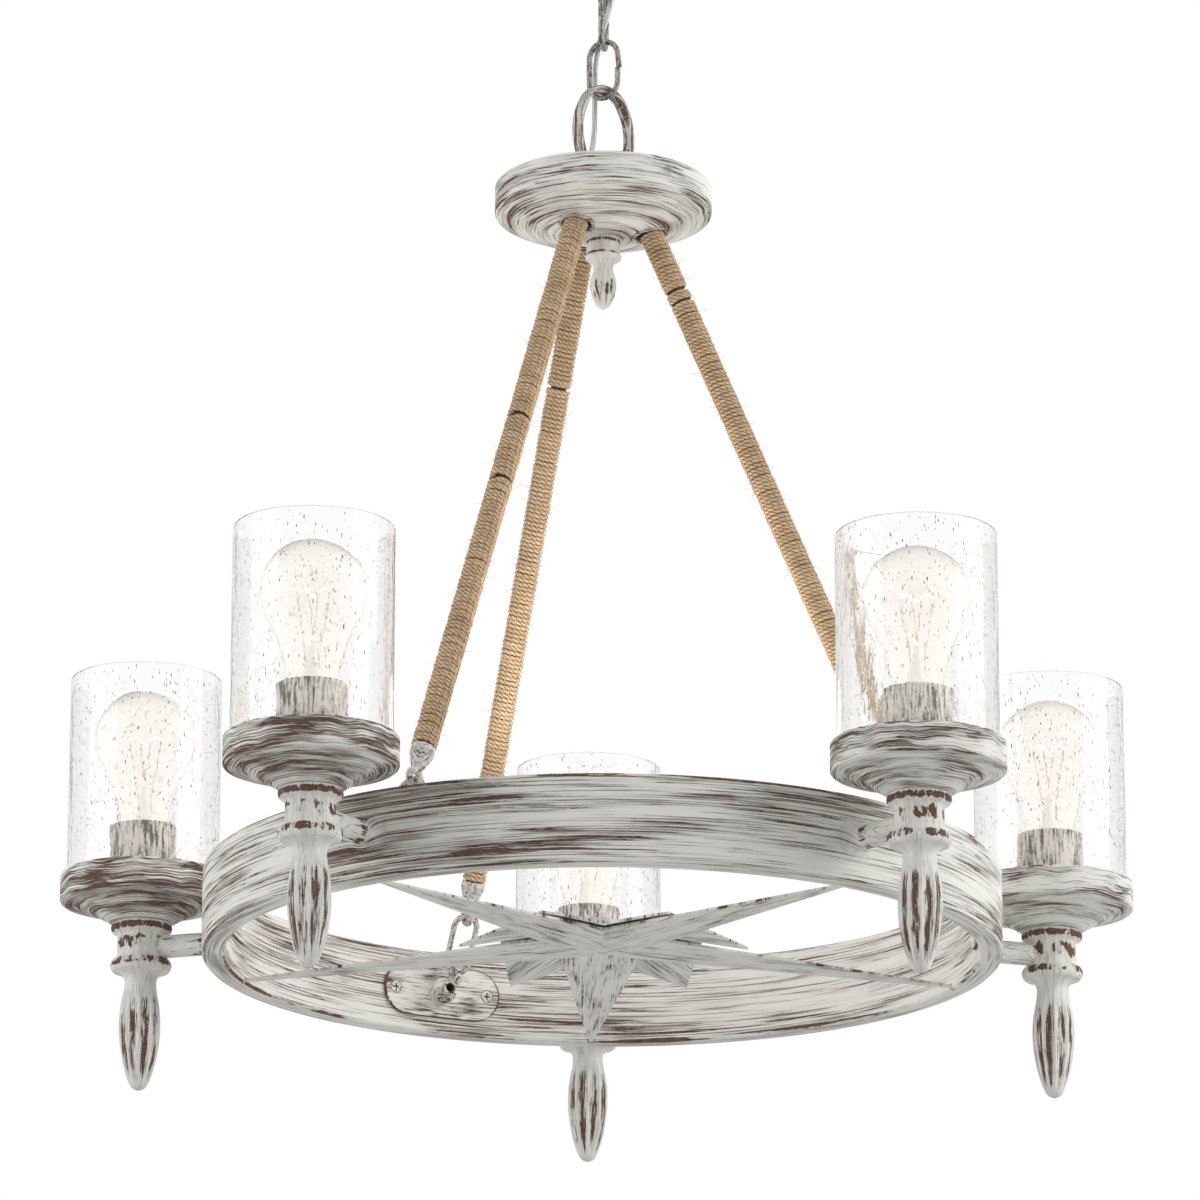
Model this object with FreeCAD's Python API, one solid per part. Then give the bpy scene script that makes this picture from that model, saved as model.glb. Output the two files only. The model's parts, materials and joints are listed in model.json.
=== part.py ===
import FreeCAD, Part
import math
import os

# A five-light chandelier: a wooden ring with a folded star hangs by three rope-wrapped rods from a
# turned hub, which a short chain joins to a ceiling canopy. All lengths are in millimetres.
# The origin is the centre of the crossbar's top face, on the ceiling. +Z is up, +X is to the
# right and +Y is away from the viewer. Azimuths are in degrees about Z, from +X towards +Y.

# Clearances and overruns
running_gap = 0.3
skew_gap = 0.8
seat_gap = 0.1
close_fit = 0.05
overrun = 5.0
weld = 0.5

# Crossbar, on the ceiling
crossbar_length = 104.0
crossbar_width = 22.0
crossbar_thickness = 2.5
crossbar_corner_r = 6.0
screw_spacing = 70.0
screw_hole_r = 2.5

# Ceiling canopy, a spun dish
canopy_r = 63.5
canopy_height = 29.0
canopy_wall = 1.5
canopy_shoulder_r = 16.0

# Collar nut that holds the canopy up
collar_r = 11.0
collar_height = 6.0
collar_edge_r = 1.5

# Canopy loop, with a hollow threaded shank
shank_r = 5.0
shank_bore_r = 3.0
shank_end_below_ceiling = 0.5
canopy_loop_path_r = 15.5
canopy_loop_bar_r = 2.5
canopy_loop_boss_r = 7.0
canopy_loop_boss_height = 6.5
canopy_loop_turn = 79.0

# Chain: links from the lowest to the highest, each turned about Z
link_length = 40.0
link_width = 23.0
link_wire_r = 1.75
link_joint_gap = 0.6
link_joint_slant = 7.0
link_turns = (-30.0, 79.0, -11.0)

# Hub loop: a cast oval with a two-ridged bar, on a flared foot
hub_loop_half_width = 19.0
hub_loop_half_height = 28.8
hub_loop_end_r = 15.0
hub_loop_ridge_r = 2.5
hub_loop_ridge_offset = 1.6
hub_loop_turn = 33.0
hub_loop_stem_r = 4.6
hub_loop_foot_r = 8.5
hub_loop_foot_edge = 1.0
hub_loop_stem_height = 5.0
hub_loop_shank_r = 4.0
hub_loop_shank_length = 12.0

# Hub plate: a turned disc with a domed underside
hub_r = 66.0
hub_rim_height = 19.5
hub_edge_r = 2.5
hub_dome_depth = 15.5

# Eyes for the rods, each hung in a lined cup that is sunk square into the dome
eye_place_r = 28.5
cup_r = 9.8
cup_wall = 0.6
cup_roof = 1.2
cup_lip_r = 11.2
cup_lip_height = 1.0
eye_path_r = 4.2
eye_wire_r = 1.2
eye_wire_depth = 4.5
eye_shank_r = 2.0
eye_shank_length = 8.0

# Drop under the hub
finial_bell_r = 10.2
finial_bell_height = 9.0
finial_bead_r = 11.0
finial_bead_height = 3.6
finial_neck_r = 6.4
finial_cove_height = 5.2
finial_bulge_r = 8.0
finial_drop_length = 26.0
finial_flute_depth = 0.55
finial_flutes = 8
finial_tenon_r = 3.0
finial_tenon_length = 8.0

# Supply cord, and the bush where it enters the hub
cord_r = 1.75
bush_bore_gap = 0.2
bush_wall = 0.9
bush_flange_r = 4.0
bush_flange_height = 2.0
bush_depth = 5.0
cord_points = (
    (0.0, 0.0, -10.0),
    (0.0, 0.0, -42.0),
    (6.5, 3.7, -65.6),
    (6.3, 4.4, -99.9),
    (-4.3, 6.2, -130.8),
    (-5.0, 12.3, -163.1),
    (-5.0, 7.7, -190.0),
    (-10.3, 8.4, -211.0),
    (-10.3, 8.4, -232.0),
)

# Rods: steel tubes with a pierced tongue at the top, wound with twine
rod_azimuths = (114.0, 234.0, 354.0)
rod_r = 4.75
rod_wall = 1.2
tongue_width = 9.0
tongue_thickness = 2.4
tongue_end_r = 3.0
window_width = 4.6
window_above_pivot = 1.85
window_below_pivot = 3.0
tongue_above_window = 1.8
tube_start = 8.0
rope_start = 3.2
rope_r = 7.5
rope_bulge = 0.35
rope_break_width = 1.4
rope_break_r = 5.4
rope_bands = 16
rope_break_shares = ((0.22,), (0.39, 0.51), (0.105, 0.125))

# Ferrule and open eye at each rod's lower end
ferrule_r = 7.2
ferrule_small_r = 3.9
ferrule_plug_length = 6.0
ferrule_straight = 4.5
ferrule_to_eye = 21.0
hook_path_r = 5.0
hook_wire_r = 2.2

# Ring
hub_to_ring = 431.9
ring_outer_r = 236.0
ring_thickness = 14.0
ring_height = 52.0
ring_edge_r = 3.0

# Brackets inside the ring, one for each rod, and the links that join them to the rods
bracket_link_width = 18.5
bracket_link_lean = 28.4
link_foot_inset = 14.0
link_foot_rise = 10.3
lug_path_r = 5.0
lug_wire_r = 2.0
lug_stem_r = 2.6
plate_length = 78.0
plate_height = 32.0
plate_thickness = 2.0
boss_side_offset = 5.0
boss_r = 8.0
boss_height = 8.5
boss_edge_r = 2.5
nipple_r = 4.0
nipple_bore_r = 2.6
nipple_height = 6.0
bracket_screw_spacing = 63.0
screw_head_r = 4.0
screw_head_height = 1.8
screw_shank_r = 1.8
screw_length = 11.0
screw_cross_width = 0.9
screw_cross_length = 4.2
screw_cross_depth = 0.9

# Long star: folded sheet, with its ridges low, let into the ring at the tips
lamp_azimuths = (90.0, 162.0, 234.0, 306.0, 18.0)
sheet_thickness = 1.5
star_tip_into_ring = 3.0
star_tip_half_width = 1.0
star_tip_above_ring_foot = 1.0
star_centre_rise = 2.5
star_valley_r = 40.0
star_valley_rise = 7.5
stud_r = 4.0
stud_thread_r = 2.5
stud_thread_length = 7.0
nut_width = 8.0
nut_height = 4.0

# Short star, above the long one and drooping between its arms
short_tip_r = 89.0
short_tip_half_width = 0.8
short_valley_r = 63.0
short_centre_above_long = 16.5
short_tip_below_centre = 19.5
short_valley_below_centre = 4.0

# Lamp stems
dish_outside_ring = 3.4
stem_top_r = 16.6
bead_r = 18.4
upper_bead_height = 6.4
stem_neck_r = 14.8
stem_neck_flute_depth = 0.45
stem_neck_height = 16.1
neck_cove_height = 2.2
lower_bead_height = 7.6
stem_cove_height = 5.0
drop_bulge_r = 13.0
drop_length = 67.5
drop_flute_depth = 1.15
drop_flutes = 10
stem_tenon_r = 5.0
stem_tenon_length = 16.0
arm_r = 6.9
arm_flare_r = 13.9
arm_flare_length = 7.0
arm_tenon_r = 4.0
arm_tenon_length = 10.0

# Outline of a fluted drop, from its neck to its round tip: the share of the length, the share of
# the bulge's radius and the share of the flute's full depth
drop_shares = (
    (0.00, 0.742, 0.00),
    (0.09, 0.780, 0.35),
    (0.20, 0.895, 0.80),
    (0.36, 0.990, 1.00),
    (0.50, 0.985, 1.00),
    (0.66, 0.880, 1.00),
    (0.80, 0.715, 0.85),
    (0.90, 0.540, 0.55),
    (0.955, 0.400, 0.00),
)

# Where hollow curves bend: the share of the way in, and the share of the way down
cove_bend_shares = (0.70, 0.34)

# Dishes under the shades
dish_r = 49.6
dish_rim_height = 17.8
dish_edge_r = 2.0
dish_bowl_depth = 12.1
dish_foot_r = 19.0
dish_recess_depth = 5.0
dish_sweep_shares = (0.50, 0.64)
stem_top_above_ring_mid = 15.3

# Glass shades
shade_r = 46.0
shade_wall = 3.0
shade_height = 127.0
shade_hole_r = 16.8
shade_edge_r = 1.2

# Sockets, their clamping rings and covers
socket_r = 16.0
socket_bore_r = 13.35
socket_floor = 8.4
socket_height = 31.0
clamp_ring_r = 18.3
clamp_ring_height = 4.0
cover_r = 19.9
cover_wall = 1.2
cover_height = 31.4

# Bulbs
bulb_cap_r = 13.05
bulb_cap_height = 22.0
bulb_contact_r = 5.0
bulb_contact_height = 3.0
bulb_length = 109.5
bulb_globe_r = 30.5
bulb_wall = 0.8
bulb_neck_r = 14.6
bulb_neck_mid_share = 0.61
bulb_neck_slim_share = 0.40
globe_start_angle = -30.0
bulb_above_socket_floor = 2.2

# Places that follow from the sizes above, from the ceiling down
origin = FreeCAD.Vector(0, 0, 0)
x_axis = FreeCAD.Vector(1, 0, 0)
y_axis = FreeCAD.Vector(0, 1, 0)
z_axis = FreeCAD.Vector(0, 0, 1)
collar_foot_z = -canopy_height - collar_height
canopy_loop_z = collar_foot_z - canopy_loop_path_r - canopy_loop_bar_r
canopy_bar_z = canopy_loop_z - canopy_loop_path_r
link_pitch = link_length - 2 * link_wire_r
wire_on_wire = 2 * link_wire_r + running_gap
link_3_top_z = canopy_bar_z + canopy_loop_bar_r + link_wire_r + running_gap
link_2_top_z = link_3_top_z - link_pitch + wire_on_wire
link_1_top_z = link_2_top_z - link_pitch + wire_on_wire
link_top_zs = (link_1_top_z, link_2_top_z, link_3_top_z)
link_1_foot_z = link_1_top_z - link_pitch
hub_loop_top_z = link_1_foot_z + link_wire_r + hub_loop_ridge_r + skew_gap
hub_loop_z = hub_loop_top_z - hub_loop_half_height
hub_top_z = hub_loop_z - hub_loop_half_height - hub_loop_stem_height
hub_rim_foot_z = hub_top_z - hub_rim_height
hub_foot_z = hub_rim_foot_z - hub_dome_depth
dome_edge_r = hub_r - hub_edge_r
dome_sphere_r = (dome_edge_r ** 2 + hub_dome_depth ** 2) / (2 * hub_dome_depth)

ring_top_z = hub_top_z - hub_to_ring
ring_foot_z = ring_top_z - ring_height
ring_mid_z = ring_top_z - ring_height / 2
ring_inner_r = ring_outer_r - ring_thickness

star_tip_r = ring_inner_r + star_tip_into_ring
star_tip_z = ring_foot_z + star_tip_above_ring_foot
star_centre_z = star_tip_z + star_centre_rise
short_centre_z = star_centre_z + short_centre_above_long

lamp_r = ring_outer_r + dish_outside_ring + dish_r
stem_top_z = ring_mid_z + stem_top_above_ring_mid
dish_rim_foot_z = stem_top_z + dish_bowl_depth
dish_top_z = dish_rim_foot_z + dish_rim_height
dish_floor_z = dish_top_z - dish_recess_depth
shade_floor_z = dish_floor_z + shade_wall
bulb_foot_z = dish_floor_z + socket_floor + bulb_above_socket_floor


def polar(radius, azimuth, z):
    """Point at a radius and azimuth about the object's axis."""
    angle = math.radians(azimuth)
    return FreeCAD.Vector(radius * math.cos(angle), radius * math.sin(angle), z)


def on_arc(centre, radius, angle):
    """Point of the XZ plane on an arc; the angle runs from +X towards +Z."""
    turn = math.radians(angle)
    return FreeCAD.Vector(centre[0] + radius * math.cos(turn), 0, centre[1] + radius * math.sin(turn))


def trace(*steps):
    """Closed face in the XZ plane. A step is a point (x, z), an arc through three such points, or
    an arc (centre, radius, from, to); straight lines join them."""
    runs = []
    for step in steps:
        if len(step) == 2:
            runs.append([FreeCAD.Vector(step[0], 0, step[1])])
        elif len(step) == 3:
            runs.append([FreeCAD.Vector(x, 0, z) for x, z in step])
        else:
            centre, radius, start, end = step
            runs.append([on_arc(centre, radius, a) for a in (start, (start + end) / 2, end)])
    edges = []
    for index, run in enumerate(runs):
        if len(run) == 3:
            edges.append(Part.Arc(*run).toShape())
        following = runs[(index + 1) % len(runs)][0]
        if run[-1].distanceToPoint(following) > Part.Precision.confusion():
            edges.append(Part.LineSegment(run[-1], following).toShape())
    return Part.Face(Part.Wire(edges))


def turned(face):
    """Solid of revolution about Z."""
    return face.revolve(origin, z_axis, 360)


def rod_between(start, end, radius):
    """Round bar between two points."""
    direction = end - start
    return Part.makeCylinder(radius, direction.Length, start, direction)


def disc(radius, z, height, place=origin):
    """Upright cylinder from z upwards."""
    return Part.makeCylinder(radius, height, FreeCAD.Vector(place.x, place.y, z))


def joined(*solids):
    """One solid out of overlapping ones."""
    whole = solids[0].fuse(list(solids[1:])).removeSplitter()
    assert len(whole.Solids) == 1, "the pieces don't all touch"
    return whole.Solids[0]


def spun(shape, azimuth):
    """Copy turned about the object's axis."""
    return shape.copy().rotate(origin, z_axis, azimuth)


def moved(shape, offset):
    """Copy shifted by a vector."""
    return shape.copy().translate(offset)


def bent_bar(section, centre, path_r, start, end):
    """Bar bent along an arc in the XZ plane. The section lies in XY, round the origin."""
    pivot = FreeCAD.Vector(centre[0], 0, centre[1])
    piece = section.copy().translate(pivot + x_axis * path_r)
    piece = piece.rotate(pivot, -y_axis, start)
    return piece.revolve(pivot, -y_axis, end - start)


def round_section(radius):
    """Disc in XY."""
    return Part.Face(Part.Wire([Part.makeCircle(radius)]))


def two_ridge_section(radius, offset):
    """Section of a bar with two rounded ridges, side by side along Y."""
    notch = math.sqrt(radius ** 2 - offset ** 2)
    edges = []
    for side in (1, -1):
        ends = [FreeCAD.Vector(x, 0, 0) for x in (notch, -notch)]
        crown = FreeCAD.Vector(0, side * (offset + radius), 0)
        edges.append(Part.Arc(ends[0], crown, ends[1]).toShape())
    return Part.Face(Part.Wire(edges))


def hang_line():
    """Top pivot, lower eye centre and bracket link ends, in the plane of a rod."""
    sink = math.sqrt(dome_sphere_r ** 2 - eye_place_r ** 2)
    mouth = FreeCAD.Vector(eye_place_r, 0, hub_foot_z + dome_sphere_r - sink)
    tilt = math.degrees(math.asin(eye_place_r / dome_sphere_r))
    upward = FreeCAD.Vector(-math.sin(math.radians(tilt)), 0, math.cos(math.radians(tilt)))
    pivot = mouth + upward * eye_wire_depth
    lean = math.radians(bracket_link_lean)
    downward = FreeCAD.Vector(math.sin(lean), 0, -math.cos(lean))
    link_foot = FreeCAD.Vector(ring_inner_r - link_foot_inset, 0, ring_mid_z + link_foot_rise)
    link_head = link_foot - downward * link_pitch
    play = hook_path_r - hook_wire_r - link_wire_r - running_gap
    hook_centre = link_head - downward * play
    return {"mouth": mouth, "tilt": tilt, "pivot": pivot, "downward": downward,
            "link_head": link_head, "link_foot": link_foot, "hook_centre": hook_centre}


hang = hang_line()
rod_run = hang["hook_centre"] - hang["pivot"]
rod_slope = math.degrees(math.atan2(rod_run.x, -rod_run.z))
rope_end = rod_run.Length - ferrule_to_eye


def along_rod(shape):
    """Places a shape that runs down -Z from the origin onto the rod's line."""
    return shape.copy().rotate(origin, y_axis, -rod_slope).translate(hang["pivot"])


def crossbar():
    """Strap with two screw holes and a tapped centre."""
    bar = Part.makeBox(crossbar_length, crossbar_width, crossbar_thickness,
                       FreeCAD.Vector(-crossbar_length / 2, -crossbar_width / 2, -crossbar_thickness))
    upright = [e for e in bar.Edges if abs(e.tangentAt(e.FirstParameter).z) > 0.5]
    bar = bar.makeFillet(crossbar_corner_r, upright)
    tools = [disc(shank_r + seat_gap, -crossbar_thickness - overrun, crossbar_thickness + 2 * overrun)]
    for side in (-1, 1):
        place = x_axis * (side * screw_spacing / 2)
        tools.append(disc(screw_hole_r, -crossbar_thickness - overrun,
                          crossbar_thickness + 2 * overrun, place))
    return bar.cut(tools)


def ceiling_canopy():
    """Spun dish with a rounded shoulder and a hole for the shank."""
    centre = (canopy_r - canopy_shoulder_r, -canopy_height + canopy_shoulder_r)
    hole_r = shank_r + seat_gap
    return turned(trace(
        (hole_r, -canopy_height),
        (centre, canopy_shoulder_r, -90, 0),
        (canopy_r, 0),
        (canopy_r - canopy_wall, 0),
        (centre, canopy_shoulder_r - canopy_wall, 0, -90),
        (hole_r, -canopy_height + canopy_wall)))


def canopy_collar():
    """Ring nut with rounded edges, under the canopy."""
    outer = collar_r - collar_edge_r
    return turned(trace(
        (shank_r + seat_gap, collar_foot_z),
        ((outer, collar_foot_z + collar_edge_r), collar_edge_r, -90, 0),
        ((outer, -canopy_height - collar_edge_r), collar_edge_r, 0, 90),
        (shank_r + seat_gap, -canopy_height)))


def canopy_loop():
    """Ring with a hollow threaded shank and a boss, through which the cord comes down."""
    boss_foot_z = collar_foot_z - canopy_loop_boss_height
    loop = bent_bar(round_section(canopy_loop_bar_r), (0, canopy_loop_z), canopy_loop_path_r, 0, 360)
    loop = loop.rotate(origin, z_axis, canopy_loop_turn)
    boss = disc(canopy_loop_boss_r, boss_foot_z, canopy_loop_boss_height)
    shank = disc(shank_r, boss_foot_z, -shank_end_below_ceiling - boss_foot_z)
    bore = disc(shank_bore_r, boss_foot_z - overrun, -boss_foot_z + 2 * overrun)
    return joined(loop, boss, shank).cut(bore)


def chain_link():
    """Link of bent wire, centred on the origin in XZ, with an open joint on its +X side."""
    bow_r = link_width / 2 - link_wire_r
    straight = link_pitch / 2 - bow_r
    section = round_section(link_wire_r)
    top = (0, straight)
    foot = (0, -straight)
    leg_top = on_arc(top, bow_r, link_joint_slant)
    fall = leg_top.z - link_joint_gap / 2
    lean = math.tan(math.radians(link_joint_slant))
    leg_end = FreeCAD.Vector(leg_top.x + fall * lean, 0, link_joint_gap / 2)
    return joined(
        bent_bar(section, top, bow_r, link_joint_slant, 180),
        bent_bar(section, foot, bow_r, 180, 360),
        rod_between(FreeCAD.Vector(-bow_r, 0, -straight), FreeCAD.Vector(-bow_r, 0, straight), link_wire_r),
        rod_between(leg_top, leg_end, link_wire_r),
        rod_between(FreeCAD.Vector(bow_r, 0, -straight),
                    FreeCAD.Vector(bow_r, 0, -link_joint_gap / 2), link_wire_r))


def oval_bar(section, centre_z, half_width, half_height, end_r):
    """Closed oval of four arcs, upright in XZ."""
    rise = half_height - end_r
    side_r = (half_width ** 2 + rise ** 2 - end_r ** 2) / (2 * (half_width - end_r))
    side_x = side_r - half_width
    turn = math.degrees(math.atan2(rise, side_x))
    return joined(
        bent_bar(section, (-side_x, centre_z), side_r, -turn, turn),
        bent_bar(section, (0, centre_z + rise), end_r, turn, 180 - turn),
        bent_bar(section, (side_x, centre_z), side_r, 180 - turn, 180 + turn),
        bent_bar(section, (0, centre_z - rise), end_r, 180 + turn, 360 - turn))


def hub_loop():
    """Fluted oval on a flared foot, with a threaded shank into the hub."""
    section = two_ridge_section(hub_loop_ridge_r, hub_loop_ridge_offset)
    oval = oval_bar(section, hub_loop_z, hub_loop_half_width, hub_loop_half_height, hub_loop_end_r)
    stem_top_z_here = hub_top_z + hub_loop_stem_height
    flare_r = hub_loop_foot_r - hub_loop_stem_r
    flare_z = hub_top_z + hub_loop_foot_edge + flare_r
    foot = turned(trace(
        (0, hub_top_z - hub_loop_shank_length),
        (hub_loop_shank_r, hub_top_z - hub_loop_shank_length),
        (hub_loop_shank_r, hub_top_z),
        (hub_loop_foot_r, hub_top_z),
        (hub_loop_foot_r, hub_top_z + hub_loop_foot_edge),
        ((hub_loop_foot_r, flare_z), flare_r, -90, -180),
        (hub_loop_stem_r, stem_top_z_here),
        (0, stem_top_z_here)))
    return joined(foot, oval.rotate(origin, z_axis, hub_loop_turn))


def into_dome(shape):
    """Places a shape built upwards from a mouth at the origin into the hub's dome, at azimuth 0."""
    return shape.copy().rotate(origin, y_axis, -hang["tilt"]).translate(hang["mouth"])


def eye_roof_height():
    """Height of the cup's ceiling above its mouth."""
    return eye_wire_depth + 2 * eye_path_r + weld


def hub_plate():
    """Turned disc with a domed underside, bored for the loop, the cord, the drop and the eyes."""
    rim = hub_r - hub_edge_r
    body = turned(trace(
        (0, hub_top_z),
        ((rim, hub_top_z - hub_edge_r), hub_edge_r, 90, 0),
        ((rim, hub_rim_foot_z + hub_edge_r), hub_edge_r, 0, -90),
        ((0, hub_foot_z + dome_sphere_r), dome_sphere_r,
         math.degrees(math.atan2(hub_dome_depth - dome_sphere_r, dome_edge_r)), -90)))
    entry = FreeCAD.Vector(cord_points[-1][0], cord_points[-1][1], 0)
    bush_hole_r = cord_r + bush_bore_gap + bush_wall + seat_gap
    cord_hole_foot = cord_points[-1][2] - overrun
    tools = [
        disc(hub_loop_shank_r + seat_gap, hub_top_z - hub_loop_shank_length - seat_gap,
             hub_loop_shank_length + seat_gap + overrun),
        disc(bush_hole_r, cord_hole_foot, hub_top_z - cord_hole_foot + overrun, entry),
        disc(finial_tenon_r + seat_gap, hub_foot_z - overrun,
             finial_tenon_length + seat_gap + overrun)]
    roof = eye_roof_height() + cup_roof
    recess = disc(cup_r + seat_gap, -overrun, roof + overrun)
    shank_hole = disc(eye_shank_r + seat_gap, 0, roof + eye_shank_length + seat_gap)
    for azimuth in rod_azimuths:
        tools.append(spun(into_dome(recess), azimuth))
        tools.append(spun(into_dome(shank_hole), azimuth))
    return body.cut(tools)


def hub_eye():
    """Lined cup with a lip, a wire eye inside and a shank above, at azimuth 0."""
    roof = eye_roof_height()
    lip_top = dome_sphere_r - math.sqrt(dome_sphere_r ** 2 - cup_r ** 2)
    cup = turned(trace(
        (cup_r - cup_wall, lip_top - cup_lip_height),
        (cup_lip_r, lip_top - cup_lip_height),
        (cup_lip_r, lip_top),
        (cup_r, lip_top),
        (cup_r, roof + cup_roof),
        (eye_shank_r, roof + cup_roof),
        (eye_shank_r, roof + cup_roof + eye_shank_length),
        (0, roof + cup_roof + eye_shank_length),
        (0, roof),
        (cup_r - cup_wall, roof)))
    eye = bent_bar(round_section(eye_wire_r), (0, eye_wire_depth + eye_path_r), eye_path_r, 0, 360)
    return into_dome(joined(cup, eye.rotate(origin, z_axis, 90)))


def fluted_section(radius, depth, z, count):
    """Closed wire of concave arcs between evenly spaced arrises."""
    step = 360 / count
    edges = []
    for index in range(count):
        start = polar(radius, index * step, z)
        middle = polar(radius - depth, (index + 0.5) * step, z)
        end = polar(radius, (index + 1) * step, z)
        edges.append(Part.Arc(start, middle, end).toShape())
    return Part.Wire(edges)


def fluted_drop(top_z, length, bulge_r, depth, count):
    """Lofted drop with concave flutes and a round tip; its neck is drop_shares[0] of the bulge."""
    wires = [fluted_section(bulge_r * wide, depth * deep, top_z - length * far, count)
             for far, wide, deep in drop_shares]
    loft = Part.makeLoft(wires, True, False)
    end_r = bulge_r * drop_shares[-1][1]
    end_z = top_z - length * drop_shares[-1][0]
    tip_z = top_z - length
    cap_depth = end_z - tip_z
    cap_r = (end_r ** 2 + cap_depth ** 2) / (2 * cap_depth)
    start = -90 + math.degrees(math.asin(end_r / cap_r))
    cap = turned(trace((0, end_z), ((0, tip_z + cap_r), cap_r, start, -90)))
    return joined(loft, cap)


def bead(top_z, height, small_r, big_r):
    """Outline of a half-round bead, as an arc through three points."""
    return (small_r, top_z), (big_r, top_z - height / 2), (small_r, top_z - height)


def cove(top_z, height, top_r, foot_r):
    """Outline of a hollow curve from a wide top to a narrow foot, as an arc through three points."""
    inward = top_r - foot_r
    bend = (top_r - inward * cove_bend_shares[0], top_z - height * cove_bend_shares[1])
    return (top_r, top_z), bend, (foot_r, top_z - height)


def hub_finial():
    """Bell, bead, cove and fluted drop, with a tenon into the hub."""
    bead_top_z = hub_foot_z - finial_bell_height
    cove_top_z = bead_top_z - finial_bead_height
    drop_top_z = cove_top_z - finial_cove_height
    neck_r = finial_bulge_r * drop_shares[0][1]
    dome_angles = [math.degrees(math.asin(r / dome_sphere_r)) - 90 for r in (finial_tenon_r, finial_bell_r)]
    bell = turned(trace(
        (0, hub_foot_z + finial_tenon_length),
        (finial_tenon_r, hub_foot_z + finial_tenon_length),
        ((0, hub_foot_z + dome_sphere_r), dome_sphere_r, dome_angles[0], dome_angles[1]),
        bead(bead_top_z, finial_bead_height, finial_bell_r, finial_bead_r),
        cove(cove_top_z, finial_cove_height, finial_bell_r, neck_r),
        (0, drop_top_z)))
    drop = fluted_drop(drop_top_z, finial_drop_length, finial_bulge_r, finial_flute_depth, finial_flutes)
    return joined(bell, drop)


def cord_bush():
    """Flanged bush, round the cord where it enters the hub."""
    bore_r = cord_r + bush_bore_gap
    bush = turned(trace(
        (bore_r, hub_top_z - bush_depth),
        (bore_r + bush_wall, hub_top_z - bush_depth),
        (bore_r + bush_wall, hub_top_z),
        (bush_flange_r, hub_top_z),
        (bush_flange_r, hub_top_z + bush_flange_height),
        (bore_r, hub_top_z + bush_flange_height)))
    return moved(bush, FreeCAD.Vector(cord_points[-1][0], cord_points[-1][1], 0))


def supply_cord():
    """Tube of straight runs and tangent arcs along the cord's route."""
    points = [FreeCAD.Vector(*p) for p in cord_points]
    edges = []
    start = points[0]
    for before, corner, after in zip(points, points[1:], points[2:]):
        inward = (before - corner).normalize()
        outward = (after - corner).normalize()
        half_turn = (math.pi - inward.getAngle(outward)) / 2
        cut = 0.45 * min(before.distanceToPoint(corner), after.distanceToPoint(corner))
        bend_r = cut / math.tan(half_turn)
        bisector = (inward + outward).normalize()
        crown = corner + bisector * (bend_r / math.cos(half_turn) - bend_r)
        arc = (corner + inward * cut, crown, corner + outward * cut)
        edges.append(Part.LineSegment(start, arc[0]).toShape())
        edges.append(Part.Arc(*arc).toShape())
        start = arc[2]
        print("cord bend radius", round(bend_r, 1))
    edges.append(Part.LineSegment(start, points[-1]).toShape())
    path = Part.Wire(edges)
    section = Part.Wire([Part.makeCircle(cord_r, points[0], points[1] - points[0])])
    cord = path.makePipeShell([section], True, False)
    print("cord volume", round(cord.Volume), "section times length",
          round(math.pi * cord_r ** 2 * path.Length))
    return cord


def rod_tube():
    """Tube with a plugged top and a pierced tongue, at azimuth 0."""
    tube_foot = -rope_end - weld
    tongue_top = window_above_pivot + tongue_above_window
    outer = disc(rod_r, tube_foot, -tube_start - tube_foot)
    inner = disc(rod_r - rod_wall, tube_foot - overrun, -tube_start - rod_wall - tube_foot + overrun)
    tongue_height = tongue_top + tube_start + rod_wall / 2
    corner = FreeCAD.Vector(-tongue_width / 2, -tongue_thickness / 2, tongue_top - tongue_height)
    tongue = Part.makeBox(tongue_width, tongue_thickness, tongue_height, corner)
    corners = [e for e in tongue.Edges
               if abs(e.tangentAt(e.FirstParameter).y) > 0.5 and e.BoundBox.ZMin > 0]
    tongue = tongue.makeFillet(tongue_end_r, corners)
    corner = FreeCAD.Vector(-window_width / 2, -tongue_thickness / 2 - overrun, -window_below_pivot)
    window = Part.makeBox(window_width, tongue_thickness + 2 * overrun,
                          window_above_pivot + window_below_pivot, corner)
    return along_rod(joined(outer.cut(inner), tongue).cut(window))


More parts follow.
